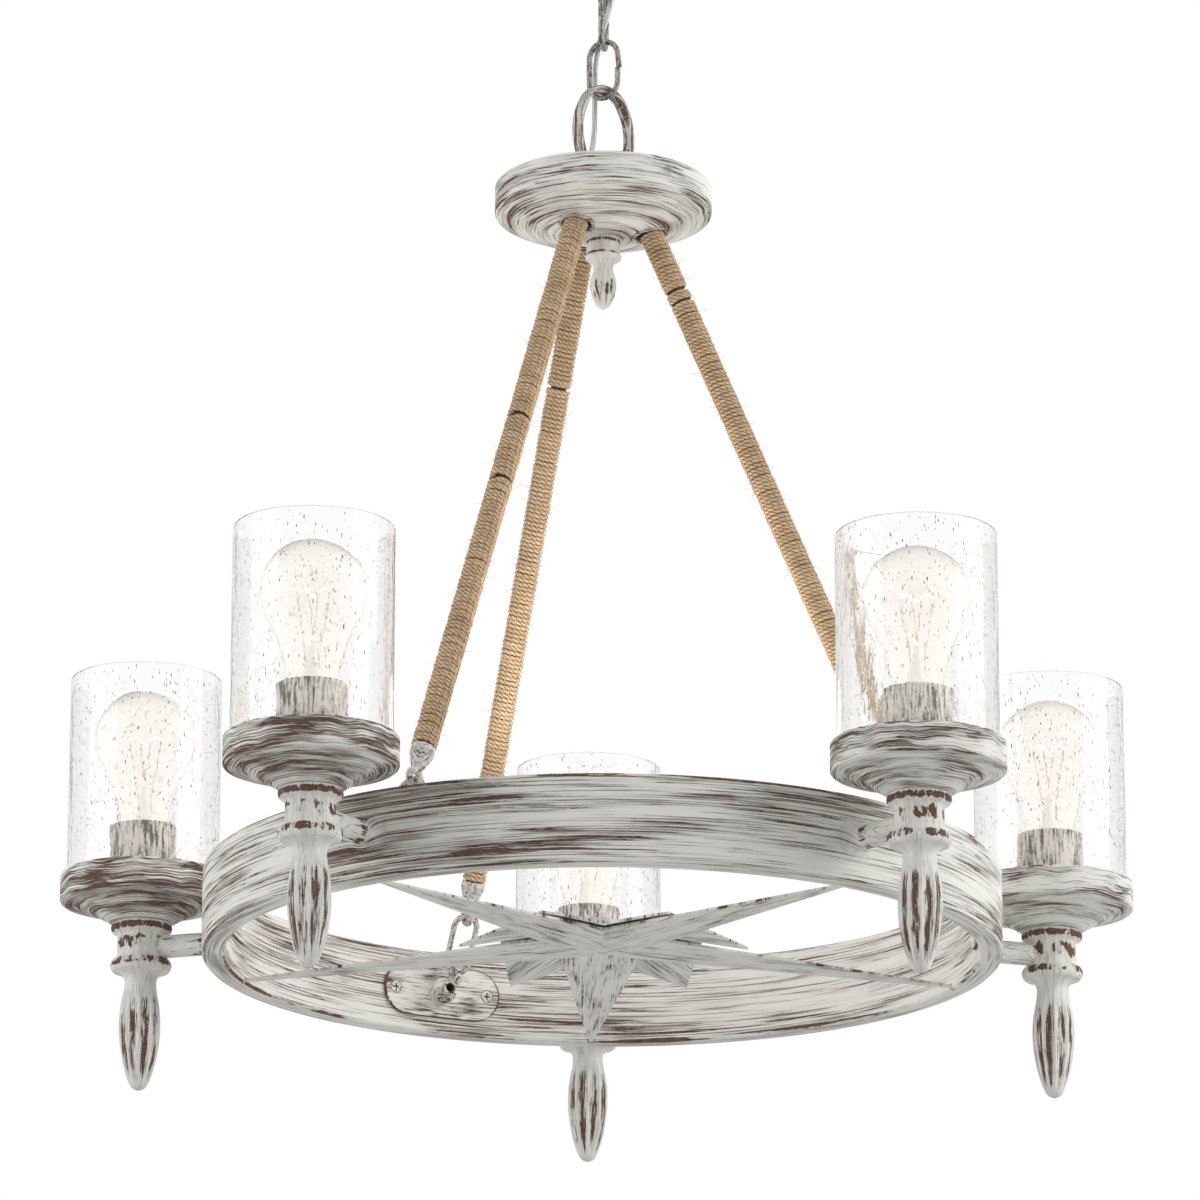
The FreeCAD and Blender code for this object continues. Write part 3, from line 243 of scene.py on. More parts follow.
class Finish:
    """A material whose nodes are added from Python expressions."""

    def __init__(self, name):
        self.material = bpy.data.materials.new(name)
        self.material.use_nodes = True
        self.tree = self.material.node_tree
        self.surface = self.tree.nodes["Principled BSDF"]

    def add(self, kind, settings=None, sockets=None):
        node = self.tree.nodes.new("ShaderNode" + kind)
        for key, value in (settings or {}).items():
            setattr(node, key, value)
        for key, value in (sockets or {}).items():
            self.plug(node.inputs[key], value)
        return Made(self, node)

    def plug(self, port, value):
        if isinstance(value, Value):
            self.tree.links.new(value.socket, port)
        elif isinstance(value, tuple) and len(value) == 3 and port.type == "RGBA":
            port.default_value = (*value, 1.0)
        else:
            port.default_value = value

    def set(self, **sockets):
        for key, value in sockets.items():
            self.plug(self.surface.inputs[key.replace("_", " ")], value)

    def place(self):
        """The three Object coordinates, in metres in the row frame."""
        coordinates = self.add("TexCoord").out("Object")
        return self.parts(coordinates)

    def own(self, name):
        """The three coordinates kept on the piece under a name."""
        return self.parts(self.add("Attribute", {"attribute_name": name}).out("Vector"))

    def kept(self, name):
        """One number kept on the piece under a name."""
        return self.add("Attribute", {"attribute_name": name}).out("Fac")

    def parts(self, vector):
        split = self.add("SeparateXYZ", None, {"Vector": vector})
        return split.out("X"), split.out("Y"), split.out("Z")

    def noise(self, spot, scale, detail, roughness=0.5, distortion=0.0):
        sockets = {"Vector": self.add("CombineXYZ", None, dict(enumerate(spot))).out("Vector"),
                   "Scale": scale, "Detail": detail, "Roughness": roughness, "Distortion": distortion}
        return self.add("TexNoise", None, sockets).out("Fac")

    def mix(self, factor, first, second):
        """A colour between two. The Mix node's sockets are numbered, since their names repeat."""
        return self.add("Mix", {"data_type": "RGBA"}, {0: factor, 6: first, 7: second}).out(2)

    def bump(self, height, distance, strength=1.0):
        sockets = {"Height": height, "Distance": distance, "Strength": strength}
        return self.add("Bump", None, sockets).out("Normal")


# Paint colours, linear
PAINT = (0.83, 0.825, 0.775)
PAINT_SHADE = (0.70, 0.70, 0.665)
WASH = (0.33, 0.315, 0.285)
LINE = (0.20, 0.158, 0.128)
BROWN = (0.172, 0.094, 0.062)
BROWN_DARK = (0.088, 0.052, 0.037)


def worn_paint(finish, field, lines, shade, crumb, halo_share, line_share, relief=0.0003):
    """Paint that a field from 0 to 1 parts above its middle, with a dull halo, thin lines and shade."""
    worn = field.step(0.628, 0.650)
    halo = field.step(0.520, 0.640)
    tone = finish.mix(shade.step(0.36, 0.64), PAINT, PAINT_SHADE)
    tone = finish.mix(halo * halo_share, tone, WASH)
    tone = finish.mix(lines * line_share, tone, LINE)
    tone = finish.mix(worn, tone, finish.mix(crumb.step(0.42, 0.62), BROWN, BROWN_DARK))
    height = 1.0 - worn - lines * 0.30 - halo * 0.20
    finish.set(Base_Color=tone, Roughness=0.62 + worn * 0.16, Specular_IOR_Level=0.30,
               Normal=finish.bump(height, relief))


def streaks(finish, a, b, across, wear, length, width, brown, spread):
    """Fields of brushed paint parted in streaks: the wear, thin lines, shade and crumbs. a and b
    run with the streaks and across runs over them. Wear above 0 uncovers brown, and brown shifts all."""

    def drawn(long, wide):
        return a / long, b / long, across / wide

    cluster = finish.noise(drawn(length * 1.3, width * 7), 1.0, 2.0)
    main = finish.noise(drawn(length, width), 1.0, 5.0, 0.60, 0.30)
    fine = finish.noise(drawn(length * 1.1, width * 0.50), 1.0, 3.0, 0.6)
    crumb = finish.noise(drawn(0.0040, 0.0007), 1.0, 2.0, 0.6)
    field = main + (fine - 0.5) * 0.42 + (cluster - 0.5) * spread + (crumb - 0.5) * 0.10
    field = field + wear * 0.3 + brown
    lines = (fine + (cluster - 0.5) * 0.4 + (crumb - 0.5) * 0.06 + brown).step(0.530, 0.605)
    return field, lines, cluster * 0.5 + fine * 0.5, crumb


def streaked(finish, a, b, across, wear, length, width, brown, line_share, halo_share, spread,
             relief=0.0003):
    """Brushed paint parted in streaks, whose values are those of the fields above."""
    field, lines, shade, crumb = streaks(finish, a, b, across, wear, length, width, brown, spread)
    worn_paint(finish, field, lines, shade, crumb, halo_share, line_share, relief)


def ring_streaks(finish, wear):
    """The fields of the ring's paint, in the row frame, so that what stands on it can carry them on."""
    x, y, z = finish.place()
    radius = (x * x + y * y) ** 0.5
    return streaks(finish, x, y, z + radius * 0.8, wear, 0.066, 0.00165, 0.008 - x * 0.08, 0.38)


def ring_finish():
    """Streaks that run round the ring, fewer on its underside."""
    finish = Finish("ring_paint")
    x, y, z = finish.place()
    radius = (x * x + y * y) ** 0.5
    foot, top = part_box("ring")
    rise = z - foot.z
    edge = rise.least(top.z - z)
    side = radius.distance_to(RING_INNER_R).least(radius.distance_to(RING_OUTER_R))
    rubbed = 1.0 - (edge + side).step(0.0006, 0.0036)
    under = (1.0 - rise.step(0.0004, 0.0016)) * side.step(0.0010, 0.0030)
    wear = rubbed * 0.42 - under * 0.55
    field, lines, shade, crumb = ring_streaks(finish, wear)
    worn_paint(finish, field, lines, shade, crumb, 0.52, 0.76)
    return finish.material


def turned_finish(name, rim_r, foot_z, length=0.026, width=0.00135, brown=0.02, swirl=0.0035,
                  uneven=0.0, start=0.0, soft=1.0):
    """Streaks that run round a turned piece and wander on its underside. uneven wears the left more,
    start moves the streaks on, and soft below 1 makes them fainter."""
    finish = Finish(name)
    brown = finish.place()[0] * -uneven + brown
    x, y, z = finish.own("spot")
    radius = (x * x + y * y) ** 0.5
    drift = finish.noise((x / 0.022, y / 0.022, z / 0.022), 1.0, 1.0)
    across = z * 1.1 + radius + (drift - 0.5) * swirl + start
    edge = (radius - rim_r).distance_to(0.0) + (z - foot_z).distance_to(0.0)
    wear = (1.0 - edge.step(0.0006, 0.0040)) * 0.16
    streaked(finish, x, y, across, wear, length, width, brown, 0.8 * soft, 0.6 * soft, 0.6)
    return finish.material


def stem_finish(name, bands, drop_top, arm_z=None):
    """Brown patches in bands on the beads, long ones down the flutes, and a streaked arm. A band is
    its middle height, its half height, how much of it is worn, and how many patches go round."""
    finish = Finish(name)
    x, y, z = finish.own("spot")
    groove = finish.kept("groove")
    radius = (x * x + y * y) ** 0.5
    turn_x = x / radius
    turn_y = y / radius
    crumb = finish.noise((x, y, z), 800.0, 2.0, 0.6)
    ragged = finish.noise((turn_x * 9.0, turn_y * 9.0, z / 0.0045), 1.0, 3.0, 0.65)
    fine = finish.noise((turn_x * 26.0, turn_y * 26.0, z / 0.011), 1.0, 2.0, 0.6)
    low = finish.noise((turn_x * 3.4, turn_y * 3.4, z / 0.040), 1.0, 1.0)
    long = finish.noise((turn_x * 12.0, turn_y * 12.0, z / 0.013), 1.0, 4.0, 0.65)
    below = (drop_top - z).step(0.004, 0.016)
    field = groove * below * 0.34 + (low - 0.5) * 0.55 + (long - 0.5) * 0.95 + 0.335
    for middle, half, amount, count in bands:
        far = z.distance_to(middle).step(half * 0.35, half * 1.60)
        spots = (turn_x * count, turn_y * count, z / 0.009 + middle * 90.0)
        patch = finish.noise(spots, 1.0, 2.0, 0.6)
        band = 0.640 + (amount - 0.5) * 0.25 + (patch - 0.5) * (1.25 - amount * 0.9) + (ragged - 0.5) * 0.45
        field = field.most(band - far * 0.5)
    field = field + (crumb - 0.5) * 0.06
    lines = (fine + groove * below * 0.06).step(0.585, 0.660)
    if arm_z is not None:
        field, lines = arm_streaks(finish, z - arm_z, field, lines)
    worn_paint(finish, field, lines, fine * 0.6 + low * 0.4, crumb, 0.38, 0.40)
    return finish.material


def arm_streaks(finish, above, field, lines):
    """A stem's wear and lines, with the arm's own beyond its bead and the ring's on its flare."""
    along, side, rise = finish.own("arm")
    out = along.step(0.0148, 0.0160) * (1.0 - above.distance_to(0.0).step(0.0069, 0.0079))
    out = out.most(along.step(0.0195, 0.0205))
    grain = finish.noise((along / 0.016, side / 0.0014, rise / 0.0014), 1.0, 3.0, 0.6)
    torn = finish.noise((along / 0.0035, side / 0.0035, rise / 0.0035), 1.0, 2.0, 0.6)
    collar = 1.0 - along.distance_to(0.0425).step(0.0010, 0.0048)
    rubbed = grain + collar * 0.17 + (torn - 0.5) * 0.16 * collar - along.step(0.0455, 0.0475) * 0.14
    field = field + (rubbed - field) * out
    joined = along.step(0.0440, 0.0490)
    ring_field, ring_lines, ring_shade, ring_crumb = ring_streaks(finish, 0.0)
    field = field + (ring_field - field) * joined
    lines = lines + (ring_lines * 1.6 - lines) * joined
    return field, lines


def bar_finish(name, brown, tint, width=0.0010, length=0.010, speckled=0.4):
    """Paint rubbed along a bent bar. The piece keeps the place along it and over it."""
    finish = Finish(name)
    x, y, z = finish.own("spot")
    bar = finish.kept("bar")
    across = bar * 1.2 + z * 0.8
    main = finish.noise((x / length, y / length, across / width), 1.0, 3.0, 0.65, 0.2)
    speck = finish.noise((x, y, z), 620.0, 3.0, 0.65)
    field = main * (1.0 - speckled) + speck * speckled + brown
    paint = tuple(c * tint for c in (0.69, 0.68, 0.635))
    grime = tuple(c * tint for c in (0.30, 0.285, 0.255))
    tone = finish.mix(field.step(0.43, 0.55), paint, grime)
    worn = field.step(0.535, 0.565)
    bare = finish.mix(speck.step(0.45, 0.60), (0.17, 0.090, 0.060), (0.085, 0.055, 0.042))
    tone = finish.mix(worn, tone, bare)
    finish.set(Base_Color=tone, Roughness=0.52 + worn * 0.15, Specular_IOR_Level=0.42,
               Normal=finish.bump(1.0 - worn + speck, 0.00014))
    return finish.material


def star_finish():
    """Streaks along each folded arm, with thin rubbed edges. The UV map runs along and across."""
    finish = Finish("star_paint")
    along, across, unused = finish.parts(finish.add("UVMap", {"uv_map": "arm"}).out("UV"))
    edge = finish.kept("edge")
    streaked(finish, along, along * 0.3, across, edge.step(0.94, 1.0) * 0.12, 0.032, 0.0016,
             brown=-0.022, line_share=0.60, halo_share=0.75, spread=0.42, relief=0.0002)
    return finish.material


def plate_finish():
    """Brushed paint on a bracket, with a thin dark outline that is partly brown wear and partly painted
    shadow at its edge, and painted shade in its bore.
    """
    finish = Finish("bracket_paint")
    u, v, depth = finish.own("spot")
    edge = ((u.distance_to(0.0) - PLATE_HALF_RUN).most(0.0) ** 2.0 + v * v) ** 0.5
    raised = 1.0 - depth.step(0.2190, 0.2197)
    speck = finish.noise((u, v, depth), 420.0, 3.0, 0.65)
    # Painted shade in the nipple's hollow bore, drawn as deep wear
    bore_shade = finish.kept("bore_shade").step(0.60, 0.95)
    # The plate's outline is brown wear together with painted shadow in the gap at its edge
    wear = edge.step(0.01555, 0.01590) * (1.0 - raised) * 0.8 + bore_shade * 1.5
    wear = wear + (speck - 0.42) * raised * 2.0
    streaked(finish, u, depth, v + depth * 0.9, wear, 0.020, 0.0015, 0.02, 0.6, 0.5, 0.5, 0.0002)
    return finish.material


def screw_finish():
    """Painted screw heads, darker at their edge, with painted shade in the cross recess."""
    finish = Finish("screw_paint")
    x, y, z = finish.place()
    radius = (x * x + y * y) ** 0.5
    rim = finish.kept("rim")
    speck = finish.noise((x, y, z), 600.0, 2.0, 0.6)
    tone = finish.mix(speck.step(0.48, 0.62), (0.70, 0.695, 0.67), (0.30, 0.26, 0.23))
    tone = finish.mix(rim.step(0.0035, 0.0038), tone, (0.11, 0.08, 0.065))
    # Painted shade in the cross recess, which lies deeper than the head's face
    tone = finish.mix(radius.step(0.22010, 0.22035), tone, (0.035, 0.025, 0.020))
    finish.set(Base_Color=tone, Roughness=0.5)
    return finish.material


def cover_finish():
    """Upright brushed paint on the socket covers."""
    finish = Finish("cover_paint")
    x, y, z = finish.own("spot")
    radius = (x * x + y * y) ** 0.5
    upright = (x / radius * 13.0, y / radius * 13.0, z / 0.012)
    main = finish.noise(upright, 1.0, 3.0, 0.6)
    low = finish.noise((x / radius * 2.2, y / radius * 2.2, z / 0.03), 1.0, 1.0)
    fine = finish.noise((x, y, z), 700.0, 2.0, 0.6)
    field = main + (low - 0.5) * 0.42 + (fine - 0.5) * 0.10
    tone = finish.mix(field.step(0.44, 0.58), (0.70, 0.655, 0.60), (0.36, 0.335, 0.305))
    worn = field.step(0.585, 0.625)
    tone = finish.mix(worn, tone, (0.105, 0.078, 0.060))
    finish.set(Base_Color=tone, Roughness=0.55, Normal=finish.bump(fine * 0.5 - worn, 0.0002))
    return finish.material


def steel_finish():
    """Dull steel with fine scratches."""
    finish = Finish("dull_steel")
    grain = finish.noise(finish.place(), 900.0, 2.0)
    finish.set(Base_Color=finish.mix(grain, (0.42, 0.41, 0.40), (0.60, 0.59, 0.57)),
               Roughness=0.28 + grain * 0.25, Metallic=1.0, Normal=finish.bump(grain, 0.00005))
    return finish.material


def moulded_finish(name, colour):
    """Plain moulded plastic with a slight grain."""
    finish = Finish(name)
    grain = finish.noise(finish.place(), 1200.0, 2.0)
    darker = tuple(c * 0.85 for c in colour)
    finish.set(Base_Color=finish.mix(grain, colour, darker), Roughness=0.45,
               Normal=finish.bump(grain, 0.00004))
    return finish.material


def twine_finish():
    """Jute: tan strands twisted together, with painted shade in the grooves between strands and where the
    twine lies against the rod. The UV map runs round the rod and along it.
    """
    finish = Finish("jute_twine")
    around, along, unused = finish.parts(finish.add("UVMap", {"uv_map": "winding"}).out("UV"))
    spot = finish.place()
    out = finish.kept("out")
    loose = finish.noise((around * 17.0, along * 370.0, 0.0), 1.0, 1.0)
    phase = around * (2 * math.pi * 13) + along * (2 * math.pi / TWINE_PITCH) + loose * 4.0
    # Painted shade in the grooves between the strands; the same mask also cuts the grooves in the bump
    groove_and_shade = phase.wave().step(0.25, 0.95)
    ply = finish.noise((around * 2.0, along / TWINE_PITCH, 0.0), 1.0, 1.0)
    twisted = (around * 150.0 - along * 900.0, along * 260.0 + around * 40.0, 0.0)
    hair = finish.noise(twisted, 1.0, 4.0, 0.7)
    patch = finish.noise(spot, 55.0, 2.0)
    tint = finish.noise(spot, 1100.0, 3.0, 0.7)
    tone = finish.mix(hair.step(0.34, 0.62), (0.56, 0.375, 0.220), (0.88, 0.690, 0.470))
    tone = finish.mix(tint.step(0.50, 0.72) * 0.4, tone, (0.92, 0.78, 0.59))
    tone = finish.mix(patch.step(0.44, 0.62) * 0.30, tone, (0.48, 0.31, 0.175))
    tone = finish.mix(ply.step(0.42, 0.62) * 0.35, tone, (0.46, 0.30, 0.165))
    tone = finish.mix(groove_and_shade * 0.66, tone, (0.255, 0.150, 0.075))
    # Painted shade in the crevice where the twine lies close to the rod
    tone = finish.mix((1.0 - out.step(0.0058, 0.0069)) * 0.85, tone, (0.15, 0.085, 0.04))
    height = 1.0 - groove_and_shade + hair * 0.7 + tint * 0.3
    finish.set(Base_Color=tone, Roughness=0.88, Specular_IOR_Level=0.15,
               Normal=finish.bump(height, 0.00035))
    return finish.material


def fibre_finish():
    """Loose jute fibres."""
    finish = Finish("jute_fibre")
    tint = finish.noise(finish.place(), 150.0, 1.0)
    tone = finish.mix(tint.step(0.4, 0.6), (0.34, 0.22, 0.12), (0.56, 0.40, 0.24))
    finish.set(Base_Color=tone, Roughness=0.8)
    return finish.material


def shade_glass_finish():
    """Clear glass, drawn upwards in faint waves, greyer where it is seen along."""
    finish = Finish("seedy_glass")
    x, y, z = finish.place()
    wave = finish.noise((x * 110.0, y * 110.0, z * 26.0), 1.0, 2.0, 0.5)
    small = finish.noise((x * 420.0, y * 420.0, z * 150.0), 1.0, 2.0, 0.6)
    facing = finish.add("LayerWeight", None, {"Blend": 0.5}).out("Facing")
    tone = finish.mix(facing ** 3.0, (0.974, 0.970, 0.962), (0.60, 0.56, 0.54))
    finish.set(Base_Color=tone, Roughness=0.0, Transmission_Weight=1.0, IOR=1.46,
               Normal=finish.bump(wave + small * 0.35, 0.0006, 0.35))
    return finish.material


def seed_finish():
    """Bubbles in the glass, pale, with a few dark ones."""
    finish = Finish("glass_seeds")
    tint = finish.noise(finish.place(), 260.0, 1.0)
    tone = finish.mix(tint.step(0.40, 0.62), (0.50, 0.46, 0.42), (0.15, 0.12, 0.10))
    finish.set(Base_Color=tone, Roughness=0.35)
    return finish.material


def bulb_glass_finish():
    """Thin clear glass of a lit bulb: a faint warm glow, a tan edge and a painted reflection of darker
    surroundings that dulls the crown.
    """
    finish = Finish("bulb_glass")
    x, y, z = finish.place()
    facing = finish.add("LayerWeight", None, {"Blend": 0.5}).out("Facing")
    edge = facing.step(0.62, 0.97)
    # Painted reflection: the crown is greyer, as if darker surroundings showed in it
    rim = facing.step(0.16, 0.85) * (z - (BULB_CENTRE + 0.004)).step(0.0, 0.020)
    tone = finish.mix(rim, (0.80, 0.77, 0.70), (0.43, 0.40, 0.39))
    tone = finish.mix(edge, tone, (0.36, 0.25, 0.19))
    glow = finish.mix((edge + rim * 0.8).clamped(), (0.26, 0.235, 0.19), (0.0, 0.0, 0.0))
    finish.set(Base_Color=tone, Roughness=0.06, Alpha=0.22 + rim * 0.46 + edge * 0.45,
               Emission_Color=glow, Emission_Strength=1.0)
    return finish.material


def plain_finish(name, colour, roughness, metallic=0.0, glow=None, strength=0.0):
    """Small parts of the bulbs."""
    finish = Finish(name)
    grain = finish.noise(finish.place(), 2000.0, 1.0)
    darker = tuple(c * 0.8 for c in colour)
    finish.set(Base_Color=finish.mix(grain, colour, darker), Roughness=roughness, Metallic=metallic)
    if glow:
        finish.set(Emission_Color=glow, Emission_Strength=strength)
    return finish.material


def cord_finish():
    """Clear jacket over silvery wire."""
    finish = Finish("cord_jacket")
    x, y, z = finish.place()
    strand = finish.noise((x * 500.0, y * 500.0, z * 60.0 + x * 900.0), 1.0, 2.0)
    finish.set(Base_Color=finish.mix(strand.step(0.4, 0.6), (0.66, 0.66, 0.64), (0.44, 0.44, 0.43)),
               Roughness=0.32, Coat_Weight=0.4, Normal=finish.bump(strand, 0.0001))
    return finish.material


# Mesh helpers
def shown(name, mesh, material, body):
    """Object at the origin for a finished mesh, riding on a body."""
    mesh.name = name
    mesh.materials.clear()
    mesh.materials.append(material)
    piece = bpy.data.objects.new(name, mesh)
    bpy.context.scene.collection.objects.link(piece)
    if body:
        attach(piece, body)
    return piece


def body_of_node(node):
    """The body that holds a CAD node."""
    for body, nodes in frame["record"]["behaviour"]["bodies"].items():
        if node in nodes:
            return body
    raise KeyError(node)


CREASE = math.radians(38)


def dressed(node, material):
    """Copy of a CAD node with its triangles joined and its curved faces smooth, in its place."""
    mesh = frame["nodes"][node].data.copy()
    shape = bmesh.new()
    shape.from_mesh(mesh)
    bmesh.ops.remove_doubles(shape, verts=shape.verts, dist=1e-6)
    for face in shape.faces:
        face.smooth = True
    for edge in shape.edges:
        edge.smooth = len(edge.link_faces) == 2 and edge.calc_face_angle(0.0) < CREASE
    shape.to_mesh(mesh)
    shape.free()
    piece = shown(node + "_painted", mesh, material, body_of_node(node))
    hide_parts(node)
    return piece


def keep_vector(mesh, name, rule):
    """Keeps three numbers on each vertex, from its coordinates."""
    spots = mesh.attributes.new(name, "FLOAT_VECTOR", "POINT")
    for vertex, spot in zip(mesh.vertices, spots.data):
        spot.vector = rule(vertex.co)


def keep_number(mesh, name, rule):
    """Keeps a number on each vertex, from its coordinates."""
    numbers = mesh.attributes.new(name, "FLOAT", "POINT")
    for vertex, number in zip(mesh.vertices, numbers.data):
        number.value = rule(vertex.co)


def keep_spot(piece, centre, turn=0.0):
    """Keeps coordinates from a centre on the piece, turned so that no two repeats look alike."""
    own = Matrix.Rotation(math.radians(turn), 3, "Z")
    keep_vector(piece.data, "spot", lambda point: own @ (point - centre))


def polar(radius, azimuth, z=0.0):
    """Point at a radius and azimuth about the hanging axis."""
    angle = math.radians(azimuth)
    return Vector((radius * math.cos(angle), radius * math.sin(angle), z))


def made_mesh(shape, smooth=False):
    """Mesh out of a bmesh, which is freed."""
    if smooth:
        for face in shape.faces:
            face.smooth = True
    mesh = bpy.data.meshes.new("made")
    shape.to_mesh(mesh)
    shape.free()
    return mesh


def spun_mesh(outline, closed, steps, centre):
    """Mesh spun round an upright axis from an outline of (radius, z)."""
    shape = bmesh.new()
    verts = [shape.verts.new((r, 0, z)) for r, z in outline]
    pairs = list(zip(verts, verts[1:]))
    if closed:
        pairs.append((verts[-1], verts[0]))
    edges = [shape.edges.new(pair) for pair in pairs]
    bmesh.ops.spin(shape, geom=verts + edges, cent=(0, 0, 0), axis=(0, 0, 1), angle=2 * math.pi,
                   steps=steps, use_merge=True)
    bmesh.ops.remove_doubles(shape, verts=shape.verts, dist=1e-7)
    bmesh.ops.recalc_face_normals(shape, faces=shape.faces)
    bmesh.ops.translate(shape, verts=shape.verts, vec=centre)
    return made_mesh(shape, True)


def arc(centre, radius, start, end, count):
    """Points (radius, z) along an arc, in degrees from +r towards +z."""
    points = []
    for index in range(count + 1):
        angle = math.radians(start + (end - start) * index / count)
        points.append((centre[0] + radius * math.cos(angle), centre[1] + radius * math.sin(angle)))
    return points


def curve_mesh(kind, points, radii=None, **settings):
    """Mesh of a curve through points, or near them if it is smooth."""
    curve = bpy.data.curves.new("curve", "CURVE")
    curve.dimensions = "3D"
    for key, value in settings.items():
        setattr(curve, key, value)
    spline = curve.splines.new(kind)
    spline.points.add(len(points) - 1)
    for index, (target, point) in enumerate(zip(spline.points, points)):
        target.co = (*point, 1.0)
        target.radius = radii[index] if radii else 1.0
    spline.order_u = 3
    spline.use_endpoint_u = True
    holder = bpy.data.objects.new("curve", curve)
    mesh = bpy.data.meshes.new_from_object(holder)
    bpy.data.objects.remove(holder)
    bpy.data.curves.remove(curve)
    return mesh


def tube_mesh(points, radius, resolution, radii=None):
    """Mesh tube along points."""
    mesh = curve_mesh("POLY", points, radii, bevel_depth=radius, bevel_resolution=resolution,
                      use_fill_caps=True)
    for face in mesh.polygons:
        face.use_smooth = True
    return mesh


def joined_mesh(meshes):
    """One mesh out of several."""
    shape = bmesh.new()
    for mesh in meshes:
        shape.from_mesh(mesh)
        bpy.data.meshes.remove(mesh)
    return made_mesh(shape)


# Ceiling, chain and cord
def keep_bar(piece, matrix, straight=0.0, lengthwise=False):
    """Keeps places in a bent bar's own frame. A loop lies in XZ round an upright run of half length
    straight; a lengthwise piece runs along Z."""
    to_own = matrix.inverted()

    def spot(vertex):
        point = to_own @ vertex
        return (point.z, 0.0, point.y) if lengthwise else (point.x, point.z, point.y)

    def bar(vertex):
        point = to_own @ vertex
        return point.x if lengthwise else math.hypot(point.x, max(abs(point.z) - straight, 0.0))

    keep_vector(piece.data, "spot", spot)
    keep_number(piece.data, "bar", bar)


def standing(centre_z, azimuth):
    """Matrix of a loop that stands on the axis, turned to an azimuth."""
    return Matrix.Translation((0, 0, centre_z)) @ Matrix.Rotation(math.radians(azimuth), 4, "Z")


def dress_chain():
    chain = bar_finish("chain_paint", 0.012, 0.78)
    casting = bar_finish("casting_paint", 0.022, 1.04, 0.0011, 0.030, 0.18)
    ferrule = bar_finish("ferrule_paint", -0.020, 1.0, 0.0012, 0.014)
    for node, centre_z, azimuth, straight in (
            ("chain_link_3", LINK_Z[0], -11, LINK_STRAIGHT), ("chain_link_2", LINK_Z[1], 79, LINK_STRAIGHT),
            ("chain_link_1", LINK_Z[2], -30, LINK_STRAIGHT), ("canopy_loop", CANOPY_LOOP_Z, 79, 0.0)):
        keep_bar(dressed(node, chain), standing(centre_z, azimuth), straight)
    keep_bar(dressed("hub_loop", casting), standing(HUB_LOOP_Z, 33), HUB_LOOP_STRAIGHT)
    for node in ("hub_eyes", "canopy_collar"):
        keep_bar(dressed(node, casting), Matrix.Identity(4))
    middle = Vector((BRACKET_LINK_MIDDLE[0], 0, BRACKET_LINK_MIDDLE[1]))
    for k, azimuth in enumerate(RODS, 1):
        keep_bar(dressed("rod_hook_%d" % k, ferrule), rod_frame(azimuth)[0], lengthwise=True)
        matrix = Matrix.Rotation(math.radians(azimuth), 4, "Z") @ Matrix.Translation(middle)
        matrix = matrix @ Matrix.Rotation(-BRACKET_LINK_LEAN, 4, "Y") @ Matrix.Rotation(math.pi / 2, 4, "Z")
        keep_bar(dressed("bracket_link_%d" % k, ferrule), matrix, BRACKET_LINK_STRAIGHT)


def dress_fittings():
    steel = steel_finish()
    for node in ("crossbar", "star_nut"):
        dressed(node, steel)
    core = plain_finish("rod_core", (0.10, 0.07, 0.05), 0.8)
    for k in (1, 2, 3):
        dressed("rod_tube_%d" % k, core)
    screws = dressed("bracket_screws", screw_finish())

    def from_screw(point):
        offs = [math.degrees(math.atan2(point.y, point.x)) - azimuth - BOSS_TURN for azimuth in RODS]
        turn = min(abs((off + 180) % 360 - 180) for off in offs)
        return math.hypot(math.radians(turn) * RING_INNER_R - SCREW_FROM_BOSS, point.z - RING_MID)

    keep_number(screws.data, "rim", from_screw)
    dressed("cord_bush", moulded_finish("bush_moulding", (0.40, 0.39, 0.36)))


def smooth_route():
    """Points along the cord's own smooth line."""
    mesh = curve_mesh("NURBS", CORD_ROUTE, resolution_u=24)
    points = [vertex.co.copy() for vertex in mesh.vertices]
    bpy.data.meshes.remove(mesh)
    return points


def supply_cord():
    """The cord in four lengths, parted at the middle of a link."""
    points = smooth_route()
    finish = cord_finish()
    heights = (0.0, *LINK_Z, -0.3)
    bodies = ("ceiling_mount", "chain_upper", "chain_middle", "chain_lower", "hub")
    pivots = (CANOPY_LOOP_Z - CANOPY_LOOP_REACH, *(z - LINK_REACH for z in LINK_Z))
    for k, (upper, lower, pivot) in enumerate(zip(bodies, bodies[1:], pivots), 1):
        run = [p for p in points if heights[k] - CORD_OVERLAP <= p.z <= heights[k - 1] + CORD_OVERLAP]
        piece = shown("cord_length_%d" % k, tube_mesh(run, CORD_R, 3), finish, None)
        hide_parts("supply_cord")
        pivot + CORD_BEND
        pivot - CORD_BEND
        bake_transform(piece)


def dress_canopy():
    canopy = dressed("ceiling_canopy", turned_finish("canopy_paint", CANOPY_R, CANOPY_FOOT))
    keep_spot(canopy, Vector((0, 0, 0)))


# Hub
def drop_groove(top_z, length, bulge_r, centre):
    """How far a vertex of a fluted drop lies in from the edges of its flutes, from 0 to 1."""

    def groove(point):
        share = (top_z - point.z) / length
        if not 0.0 <= share <= 1.0:
            return 0.0
        for (a, wide_a), (b, wide_b) in zip(DROP_SHARES, DROP_SHARES[1:]):
            if a <= share <= b:
                edge_r = (wide_a + (wide_b - wide_a) * (share - a) / (b - a)) * bulge_r
                own_r = math.hypot(point.x - centre.x, point.y - centre.y)
                return max(0.0, min(1.0, (edge_r - own_r) / (bulge_r * 0.07)))
        return 0.0

    return groove


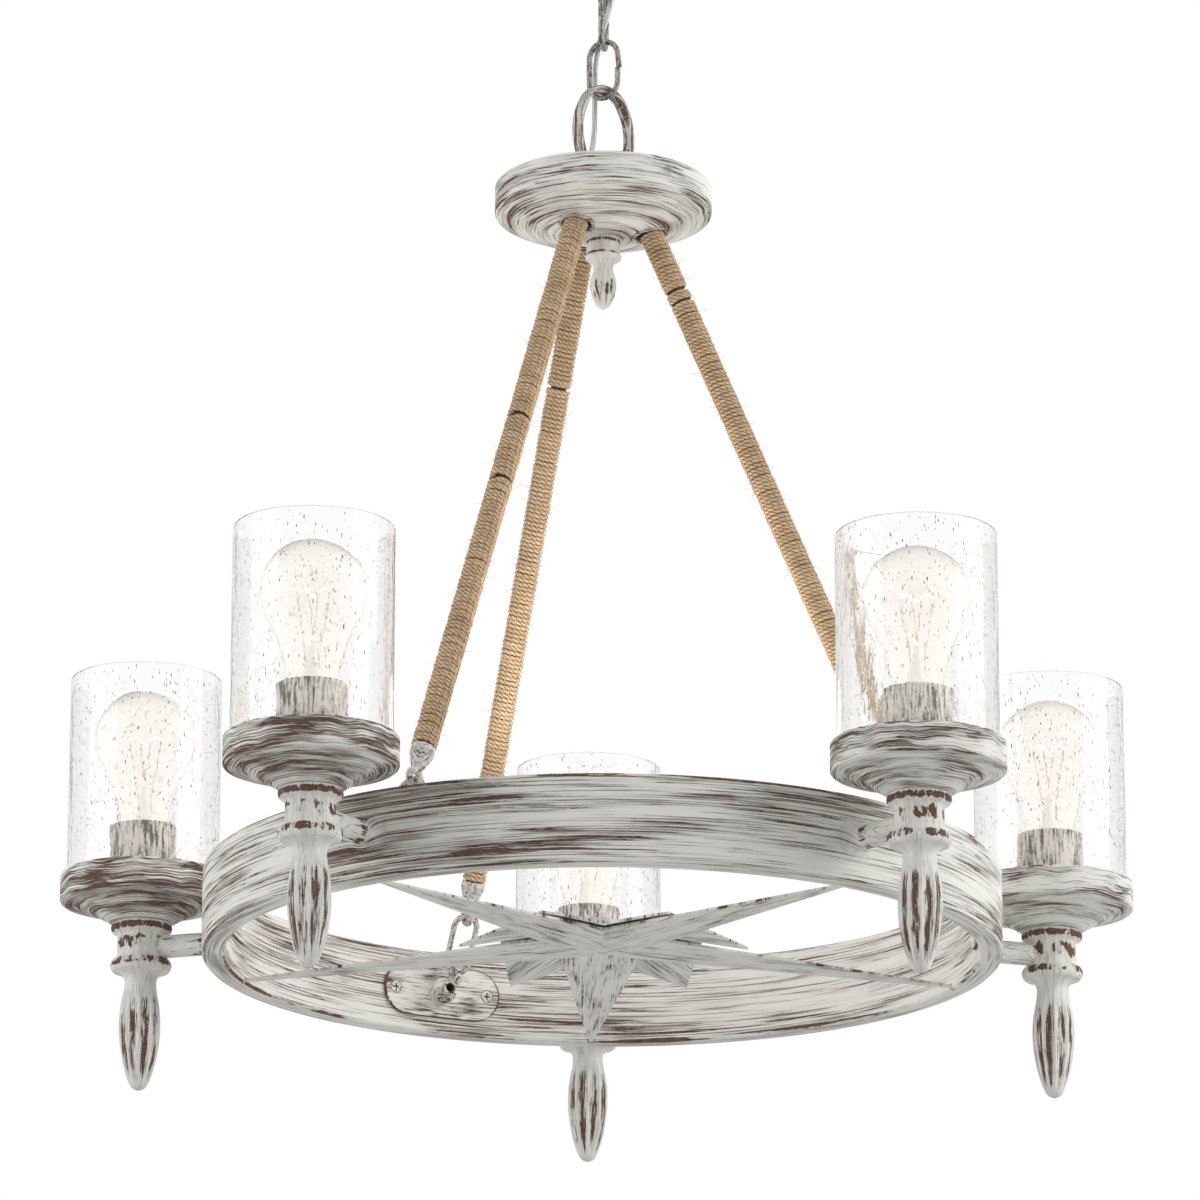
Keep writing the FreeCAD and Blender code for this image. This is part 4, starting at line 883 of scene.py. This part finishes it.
def dress_hub():
    rim_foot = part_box("hub_plate")[1].z - HUB_RIM_HEIGHT
    finish = turned_finish("hub_paint", HUB_R, rim_foot, 0.036, 0.0015, 0.020, start=0.041, soft=0.7)
    centre = Vector((0, 0, 0))
    keep_spot(dressed("hub_plate", finish), centre)
    foot_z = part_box("hub_finial")[0].z
    bands = ((foot_z + 0.0422, 0.0014, 0.75, 3.0), (foot_z + 0.0342, 0.0012, 0.55, 2.0),
             (foot_z + 0.0120, 0.0080, 0.22, 4.5))
    finial = dressed("hub_finial", stem_finish("finial_paint", bands, foot_z + 0.020))
    keep_spot(finial, centre)
    groove = drop_groove(foot_z + FINIAL_DROP, FINIAL_DROP, FINIAL_BULGE_R, centre)
    keep_number(finial.data, "groove", groove)


# Rods
def rod_frame(azimuth):
    """Matrix from a rod's own frame, with -Z down the rod from its upper eye, to the row frame."""
    top = Vector((ROD_TOP[0], 0, ROD_TOP[1]))
    eye = Vector((ROD_EYE[0], 0, ROD_EYE[1]))
    slope = math.atan2(eye.x - top.x, top.z - eye.z)
    turn = Matrix.Rotation(math.radians(azimuth), 4, "Z")
    return turn @ Matrix.Translation(top) @ Matrix.Rotation(-slope, 4, "Y"), (eye - top).length


def winding_points(start, end, dice):
    """Points of one unbroken winding down a rod, its turns slightly uneven and its ends level."""
    turns = max(3, round((end - start) / TWINE_PITCH) + 1)
    pitch = (end - start) / (turns - 1)
    drift = [dice.uniform(-0.00030, 0.00030) for _ in range(turns + 2)]
    rise = [dice.uniform(-0.00022, 0.00022) for _ in range(turns + 2)]
    points = []
    for step in range(turns * TWINE_STEPS + 1):
        turn = step / TWINE_STEPS
        whole = int(turn)
        share = turn - whole
        share = share * share * (3 - 2 * share)
        level = min(1.0, turn) ** 2 / 2 + max(0.0, turn - 1.0)
        left = turns - turn
        if left < 1.0:
            level = turns - 1.0 - left ** 2 / 2
        loose = min(1.0, turn, left)
        shift = (drift[whole] * (1 - share) + drift[whole + 1] * share) * loose
        out = TUBE_R + TWINE_R * 0.98 + rise[whole] * (1 - share) + rise[whole + 1] * share
        out -= max(0.0, 0.12 - min(turn, left)) * TWINE_R * 8.0
        angle = 2 * math.pi * turn
        depth = start + level * pitch + shift
        points.append(Vector((out * math.cos(angle), out * math.sin(angle), -depth)))
    return points


def wrap_uv(mesh, name):
    """UV map round and along the Z axis of a mesh's own frame, in turns and metres."""
    layer = mesh.uv_layers.new(name=name)
    for face in mesh.polygons:
        first = None
        for loop in face.loop_indices:
            point = mesh.vertices[mesh.loops[loop].vertex_index].co
            turn = math.atan2(point.y, point.x) / (2 * math.pi)
            if first is None:
                first = turn
            turn -= round(turn - first)
            layer.data[loop].uv = (turn, point.z)


def fibre_points(dice, start, end):
    """A loose fibre: a bent hair that leaves the winding."""
    along = dice.uniform(start, end)
    angle = dice.uniform(0, 2 * math.pi)
    outward = Vector((math.cos(angle), math.sin(angle), 0))
    sideways = Vector((-math.sin(angle), math.cos(angle), 0))
    base = outward * FIBRE_FOOT_R + Vector((0, 0, -along))
    length = dice.choice((0.0022, 0.0028, 0.0034, 0.0040, 0.0050, 0.0062, 0.0090))
    lean = outward * dice.uniform(0.15, 0.9) + sideways * dice.choice((-1, 1)) * dice.uniform(0.3, 1.0)
    lean += Vector((0, 0, dice.uniform(-0.8, 0.8)))
    lean.normalize()
    curl = Vector((dice.uniform(-1, 1), dice.uniform(-1, 1), dice.uniform(-1, 1))) * 0.5
    points = [base]
    for step in range(4):
        lean = (lean + curl * 0.35).normalized()
        points.append(points[-1] + lean * length / 4)
    return points


def dress_rods():
    twine = twine_finish()
    fibre = fibre_finish()
    for k, (azimuth, break_shares) in enumerate(zip(RODS, ROPE_BREAK_SHARES), 1):
        dice = random.Random(299 + k)
        matrix, run = rod_frame(azimuth)
        start, end = ROPE_START, run - ROPE_END_TO_EYE
        cuts = [start + (end - start) * share for share in break_shares]
        marks = [start] + cuts + [end]
        windings = []
        for a, b in zip(marks, marks[1:]):
            first = a + WINDING_GAP + TWINE_R
            last = b - WINDING_GAP - TWINE_R
            windings.append(tube_mesh(winding_points(first, last, dice), TWINE_R, 1))
        mesh = joined_mesh(windings)
        wrap_uv(mesh, "winding")
        # Distance from the rod's axis, which places the painted shade where the twine lies close to the rod
        keep_number(mesh, "out", lambda point: math.hypot(point.x, point.y))
        mesh.transform(matrix)
        rope = shown("twine_winding_%d" % k, mesh, twine, "rod_%d" % k)
        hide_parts("rope_wrap_%d" % k)
        hairs = [tube_mesh(fibre_points(dice, start + 0.010, end - 0.002), FIBRE_R, 0,
                           radii=(1.0, 0.9, 0.75, 0.5, 0.2)) for _ in range(FIBRES)]
        mesh = joined_mesh(hairs)
        mesh.transform(matrix)
        fluff = shown("twine_fibres_%d" % k, mesh, fibre, "rod_%d" % k)


# Ring, star and brackets
def arm_uv(piece, azimuths, valley_r):
    """UV map along and across each folded arm, and each vertex's nearness to the outer edge."""
    mesh = piece.data
    layer = mesh.uv_layers.new(name="arm")
    for face in mesh.polygons:
        middle = face.center
        turn = math.degrees(math.atan2(middle.y, middle.x))
        azimuth = min(azimuths, key=lambda a: abs((turn - a + 180) % 360 - 180))
        along_way = polar(1.0, azimuth)
        across_way = polar(1.0, azimuth + 90)
        for loop in face.loop_indices:
            point = mesh.vertices[mesh.loops[loop].vertex_index].co
            layer.data[loop].uv = (point.dot(along_way) + azimuth * 0.01, point.dot(across_way))

    def edge(point):
        radius = math.hypot(point.x, point.y)
        turn = math.degrees(math.atan2(point.y, point.x))
        off = min(abs((turn - azimuth + 180) % 360 - 180) for azimuth in azimuths)
        beside = radius * math.sin(math.radians(off)) > FOLD_WIDTH
        return 1.0 if beside and radius >= valley_r * 0.5 else 0.0

    keep_number(piece.data, "edge", edge)


def keep_bracket(piece, azimuth):
    """Keeps places on a bracket, along its plate, up it and from the axis, and marks its bore for painted
    shade.
    """

    def turn(point):
        off = math.degrees(math.atan2(point.y, point.x)) - azimuth - BOSS_TURN
        return math.radians((off + 180) % 360 - 180)

    def spot(point):
        return turn(point) * RING_INNER_R, point.z - RING_MID, math.hypot(point.x, point.y)

    def bore_shade(point):
        radius = math.hypot(point.x, point.y)
        inside = math.hypot(radius * math.sin(turn(point)), point.z - RING_MID) < NIPPLE_BORE_R
        return 1.0 if inside and radius < RING_INNER_R - 0.0003 else 0.0

    keep_vector(piece.data, "spot", spot)
    keep_number(piece.data, "bore_shade", bore_shade)


def dress_ring():
    dressed("ring", ring_finish())
    finish = star_finish()
    arm_uv(dressed("star_long", finish), LAMPS, LONG_VALLEY_R)
    arm_uv(dressed("star_short", finish), [azimuth + 180 / len(LAMPS) for azimuth in LAMPS], SHORT_VALLEY_R)
    plate = plate_finish()
    for k, azimuth in enumerate(RODS, 1):
        keep_bracket(dressed("ring_bracket_%d" % k, plate), azimuth)


# Lamps
def keep_arm(piece, azimuth):
    """Keeps places along a stem's arm from the stem's axis, across it and over its middle."""
    centre = polar(LAMP_R, azimuth)
    inward = -polar(1.0, azimuth)
    across = polar(1.0, azimuth + 90)

    def spot(point):
        off = point - centre
        return off.dot(inward), off.dot(across), point.z - RING_MID

    keep_vector(piece.data, "arm", spot)


def dress_stems():
    drop_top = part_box("lamp_stem_1")[0].z + DROP_LENGTH
    lower_foot = drop_top + 0.0050
    neck_foot = lower_foot + 0.0076
    neck_top = neck_foot + 0.0161
    bands = ((lower_foot + 0.0048, 0.0034, 0.50, 2.6), (neck_top + 0.0026, 0.0026, 0.86, 3.0),
             ((neck_foot + neck_top) / 2 + 0.001, 0.0058, 0.36, 2.6))
    finish = stem_finish("stem_paint", bands, drop_top, RING_MID)
    for k, azimuth in enumerate(LAMPS, 1):
        centre = polar(LAMP_R, azimuth)
        stem = dressed("lamp_stem_%d" % k, finish)
        keep_spot(stem, centre, REPEAT_TURN * k)
        keep_arm(stem, azimuth)
        keep_number(stem.data, "groove", drop_groove(drop_top, DROP_LENGTH, DROP_BULGE_R, centre))


def dress_dishes():
    rim_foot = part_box("bobeche_1")[1].z - DISH_RIM_HEIGHT
    finish = turned_finish("dish_paint", DISH_R, rim_foot, 0.030, 0.0014, 0.032, 0.0070, 0.14)
    cover = cover_finish()
    socket = moulded_finish("socket_moulding", (0.70, 0.69, 0.66))
    for k, azimuth in enumerate(LAMPS, 1):
        keep_spot(dressed("bobeche_%d" % k, finish), polar(LAMP_R, azimuth), REPEAT_TURN * k)
        keep_spot(dressed("socket_cover_%d" % k, cover), polar(LAMP_R, azimuth), REPEAT_TURN * k)
    dressed("lamp_sockets", socket)
    dressed("shade_rings", socket)


def shade_outline():
    """Closed outline of a glass, with a rounded rim and a holed floor."""
    floor, top = DISH_FLOOR, DISH_FLOOR + SHADE_HEIGHT
    inner = SHADE_R - SHADE_WALL
    rows = 22
    rim_z = top - SHADE_WALL / 2
    low = floor + SHADE_ROUNDING
    points = [(SHADE_HOLE_R, floor)]
    points += arc((SHADE_R - SHADE_ROUNDING, low), SHADE_ROUNDING, -90, 0, 4)
    points += [(SHADE_R, low + (rim_z - low) * i / rows) for i in range(1, rows)]
    points += arc((SHADE_R - SHADE_WALL / 2, rim_z), SHADE_WALL / 2, 0, 180, 8)
    low += SHADE_WALL
    points += [(inner, rim_z + (low - rim_z) * i / rows) for i in range(1, rows)]
    points += arc((inner - SHADE_ROUNDING, low), SHADE_ROUNDING, 0, -90, 3)
    points += [(SHADE_HOLE_R, floor + SHADE_WALL)]
    return points


def seed_mesh(dice, centre, count):
    """A lot of bubbles, drawn out upwards, within the wall of a glass."""
    shape = bmesh.new()
    for _ in range(count):
        size = dice.choice((0.00016, 0.00018, 0.00022, 0.00026, 0.00030, 0.00038))
        angle = dice.uniform(0, 360)
        height = DISH_FLOOR + SHADE_WALL * 2 + (SHADE_HEIGHT - 0.008) * dice.random() ** 0.85
        spot = centre + polar(SHADE_R - SHADE_WALL * dice.uniform(0.25, 0.75), angle, height)
        stretch = dice.uniform(1.2, 4.5)
        matrix = Matrix.Translation(spot) @ Matrix.Diagonal((size, size, size * stretch, 1.0))
        bmesh.ops.create_icosphere(shape, subdivisions=1, radius=1.0, matrix=matrix)
    return made_mesh(shape, True)


def dress_shades():
    glass = shade_glass_finish()
    seeds = seed_finish()
    outline = shade_outline()
    for k, azimuth in enumerate(LAMPS, 1):
        dice = random.Random(70 + k)
        centre = polar(LAMP_R, azimuth)
        mesh = spun_mesh(outline, True, 96, centre)
        piece = shown("glass_cylinder_%d" % k, mesh, glass, "ring_frame")
        piece.visible_shadow = False
        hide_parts("shade_%d" % k)
        mesh = joined_mesh([seed_mesh(dice, centre, SEEDS_IN_A_LOT) for _ in range(SEED_LOTS)])
        piece = shown("glass_seeds_%d" % k, mesh, seeds, "ring_frame")
        piece.visible_shadow = False


def bulb_outline():
    """Neck and globe of a bulb's glass, from the cap to the crown."""
    neck = [(0.0145, BULB_CAP_TOP), (0.0148, BULB_CENTRE - 0.0500), (0.0158, BULB_CENTRE - 0.0440),
            (0.0174, BULB_CENTRE - 0.0375), (0.0194, BULB_CENTRE - 0.0310), (0.0220, BULB_CENTRE - 0.0245),
            (0.0245, BULB_CENTRE - 0.0192)]
    points = neck + arc((0, BULB_CENTRE), BULB_R, -30, 90, 20)
    points[-1] = (0.0, BULB_CENTRE + BULB_R)
    return points


def filament_lines(centre):
    """Points of the leads and supports inside a bulb, and of its coiled filament."""
    base = centre + Vector((0, 0, BULB_CENTRE - 0.030))
    left = centre + Vector((-FILAMENT_HALF, 0, BULB_CENTRE - 0.0005))
    right = centre + Vector((FILAMENT_HALF, 0, BULB_CENTRE - 0.0005))

    def middle(share):
        return left.lerp(right, share) + Vector((0, 0, FILAMENT_WAVE * math.sin(share * 3 * math.pi)))

    wires = []
    for side, tip in ((-1, left), (1, right)):
        foot = base + Vector((side * 0.0038, 0, -0.022))
        wires.append([foot, base + Vector((side * 0.0042, 0, -0.004)), tip])
    for share in (1 / 3, 2 / 3):
        wires.append([base + Vector((0, 0, 0.004)), middle(share)])
    coil = []
    for step in range(COIL_STEPS + 1):
        share = step / COIL_STEPS
        turn = share * 2 * math.pi * COIL_TURNS
        coil.append(middle(share) + Vector((0, math.cos(turn), math.sin(turn))) * COIL_R)
    return wires, coil


def cap_outline():
    """A bulb's cap from its foot up, with seven threads."""
    points = [(0.0, BULB_FOOT), (0.005, BULB_FOOT), (0.0125, BULB_FOOT + 0.003)]
    for turn in range(7):
        z = BULB_FOOT + 0.0045 + turn * 0.0022
        points += [(0.0121, z), (0.01295, z + 0.0011)]
    return points + [(0.0125, BULB_CAP_TOP - 0.001), (0.01465, BULB_CAP_TOP + 0.0005)]


def press_outline():
    """The pressed glass that carries the wires, from its top down."""
    return [(0.0, BULB_CENTRE - 0.029), (0.0012, BULB_CENTRE - 0.029), (0.0030, BULB_CENTRE - 0.034),
            (0.0036, BULB_CENTRE - 0.044), (0.0070, BULB_CENTRE - 0.052), (0.0120, BULB_CAP_TOP + 0.001)]


def dress_bulbs():
    glass = bulb_glass_finish()
    press = plain_finish("stem_press_glass", (0.92, 0.90, 0.86), 0.15)
    wire = plain_finish("lead_wire", (0.55, 0.33, 0.16), 0.6)
    brass = plain_finish("bulb_cap_metal", (0.62, 0.58, 0.50), 0.3, 1.0)
    hot = plain_finish("hot_filament", (1.0, 0.85, 0.6), 0.5, 0.0, (1.0, 0.86, 0.64), 1.9)
    for k, azimuth in enumerate(LAMPS, 1):
        centre = polar(LAMP_R, azimuth)
        mesh = spun_mesh(bulb_outline(), False, 64, centre)
        piece = shown("bulb_glass_%d" % k, mesh, glass, "ring_frame")
        piece.visible_shadow = False
        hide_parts("bulb_%d" % k)
        lines, coil = filament_lines(centre)
        for name, mesh, material in (
                ("cap", spun_mesh(cap_outline(), False, 40, centre), brass),
                ("wires", joined_mesh([tube_mesh(line, LEAD_R, 1) for line in lines]), wire),
                ("filament", tube_mesh(coil, FILAMENT_R, 0), hot),
                ("stem", spun_mesh(press_outline(), False, 24, centre), press)):
            shown("bulb_%s_%d" % (name, k), mesh, material, "ring_frame")


# Surroundings
FLOOR_Z = -3.6
FLOOR_HALF = 14.0


def seen_level(tree, unseen, seen):
    """One strength for the rays that see the background, and another for those that only light things."""
    path = tree.nodes.new("ShaderNodeLightPath")
    last = None
    for kind in ("Is Camera Ray", "Is Glossy Ray", "Is Transmission Ray"):
        most = tree.nodes.new("ShaderNodeMath")
        most.operation = "MAXIMUM"
        tree.links.new(path.outputs[kind], most.inputs[0])
        if last:
            tree.links.new(last.outputs[0], most.inputs[1])
        else:
            most.inputs[1].default_value = 0.0
        last = most
    level = tree.nodes.new("ShaderNodeMapRange")
    tree.links.new(last.outputs[0], level.inputs["Value"])
    level.inputs["To Min"].default_value = unseen
    level.inputs["To Max"].default_value = seen
    return level.outputs["Result"]


def hang_light(data, place, turn):
    """A light that is not seen itself."""
    light = bpy.data.objects.new(data.name, data)
    bpy.context.scene.collection.objects.link(light)
    light.location = place
    light.rotation_euler = turn
    light.visible_camera = False
    light.visible_transmission = False


def light_scene():
    """White surroundings, soft studio light, and the bulbs' warm glow as two lights at the middle."""
    world = bpy.data.worlds.new("studio")
    bpy.context.scene.world = world
    world.use_nodes = True
    tree = world.node_tree
    background = tree.nodes["Background"]
    background.inputs["Color"].default_value = (1.0, 1.0, 1.0, 1.0)
    tree.links.new(seen_level(tree, 0.50, 1.0), background.inputs["Strength"])
    aim = Vector((0, 0, -0.45))
    for name, place, size, power in (
            ("left", (-2.5, -0.9, 0.1), 2.2, 30.0), ("right", (2.5, -0.7, 0.2), 2.2, 48.0),
            ("back", (0.3, 2.4, 1.3), 1.8, 16.0)):
        data = bpy.data.lights.new(name, "AREA")
        data.size = size
        data.energy = power
        turn = (aim - Vector(place)).to_track_quat("-Z", "Y").to_euler()
        hang_light(data, place, turn)
    for name, kind, height, size, power in (
            ("glow", "POINT", -0.605, 0.08, 0.33), ("glow_up", "AREA", -0.56, 0.22, 0.24)):
        data = bpy.data.lights.new(name, kind)
        data.energy = power
        data.color = (1.0, 0.95, 0.88)
        if kind == "POINT":
            data.shadow_soft_size = size
        else:
            data.size = size
        hang_light(data, (0, 0, height), (math.pi, 0, 0))


def lay_floor():
    """Floor far below, white where it is seen, so that the background stays plain from every side."""
    shape = bmesh.new()
    bmesh.ops.create_grid(shape, x_segments=1, y_segments=1, size=FLOOR_HALF,
                          matrix=Matrix.Translation((0, 0, FLOOR_Z)))
    finish = Finish("pale_floor")
    finish.set(Base_Color=(0.86, 0.86, 0.85), Roughness=0.9, Emission_Color=(1.0, 1.0, 1.0))
    level = seen_level(finish.tree, 0.0, 0.62)
    finish.tree.links.new(level, finish.surface.inputs["Emission Strength"])
    shown("floor", made_mesh(shape), finish.material, None)


place_camera()
supply_cord()
dress_chain()
dress_fittings()
dress_canopy()
dress_hub()
dress_rods()
dress_ring()
dress_stems()
dress_dishes()
dress_shades()
dress_bulbs()
light_scene()
lay_floor()
bpy.context.scene.view_settings.view_transform = "Standard"
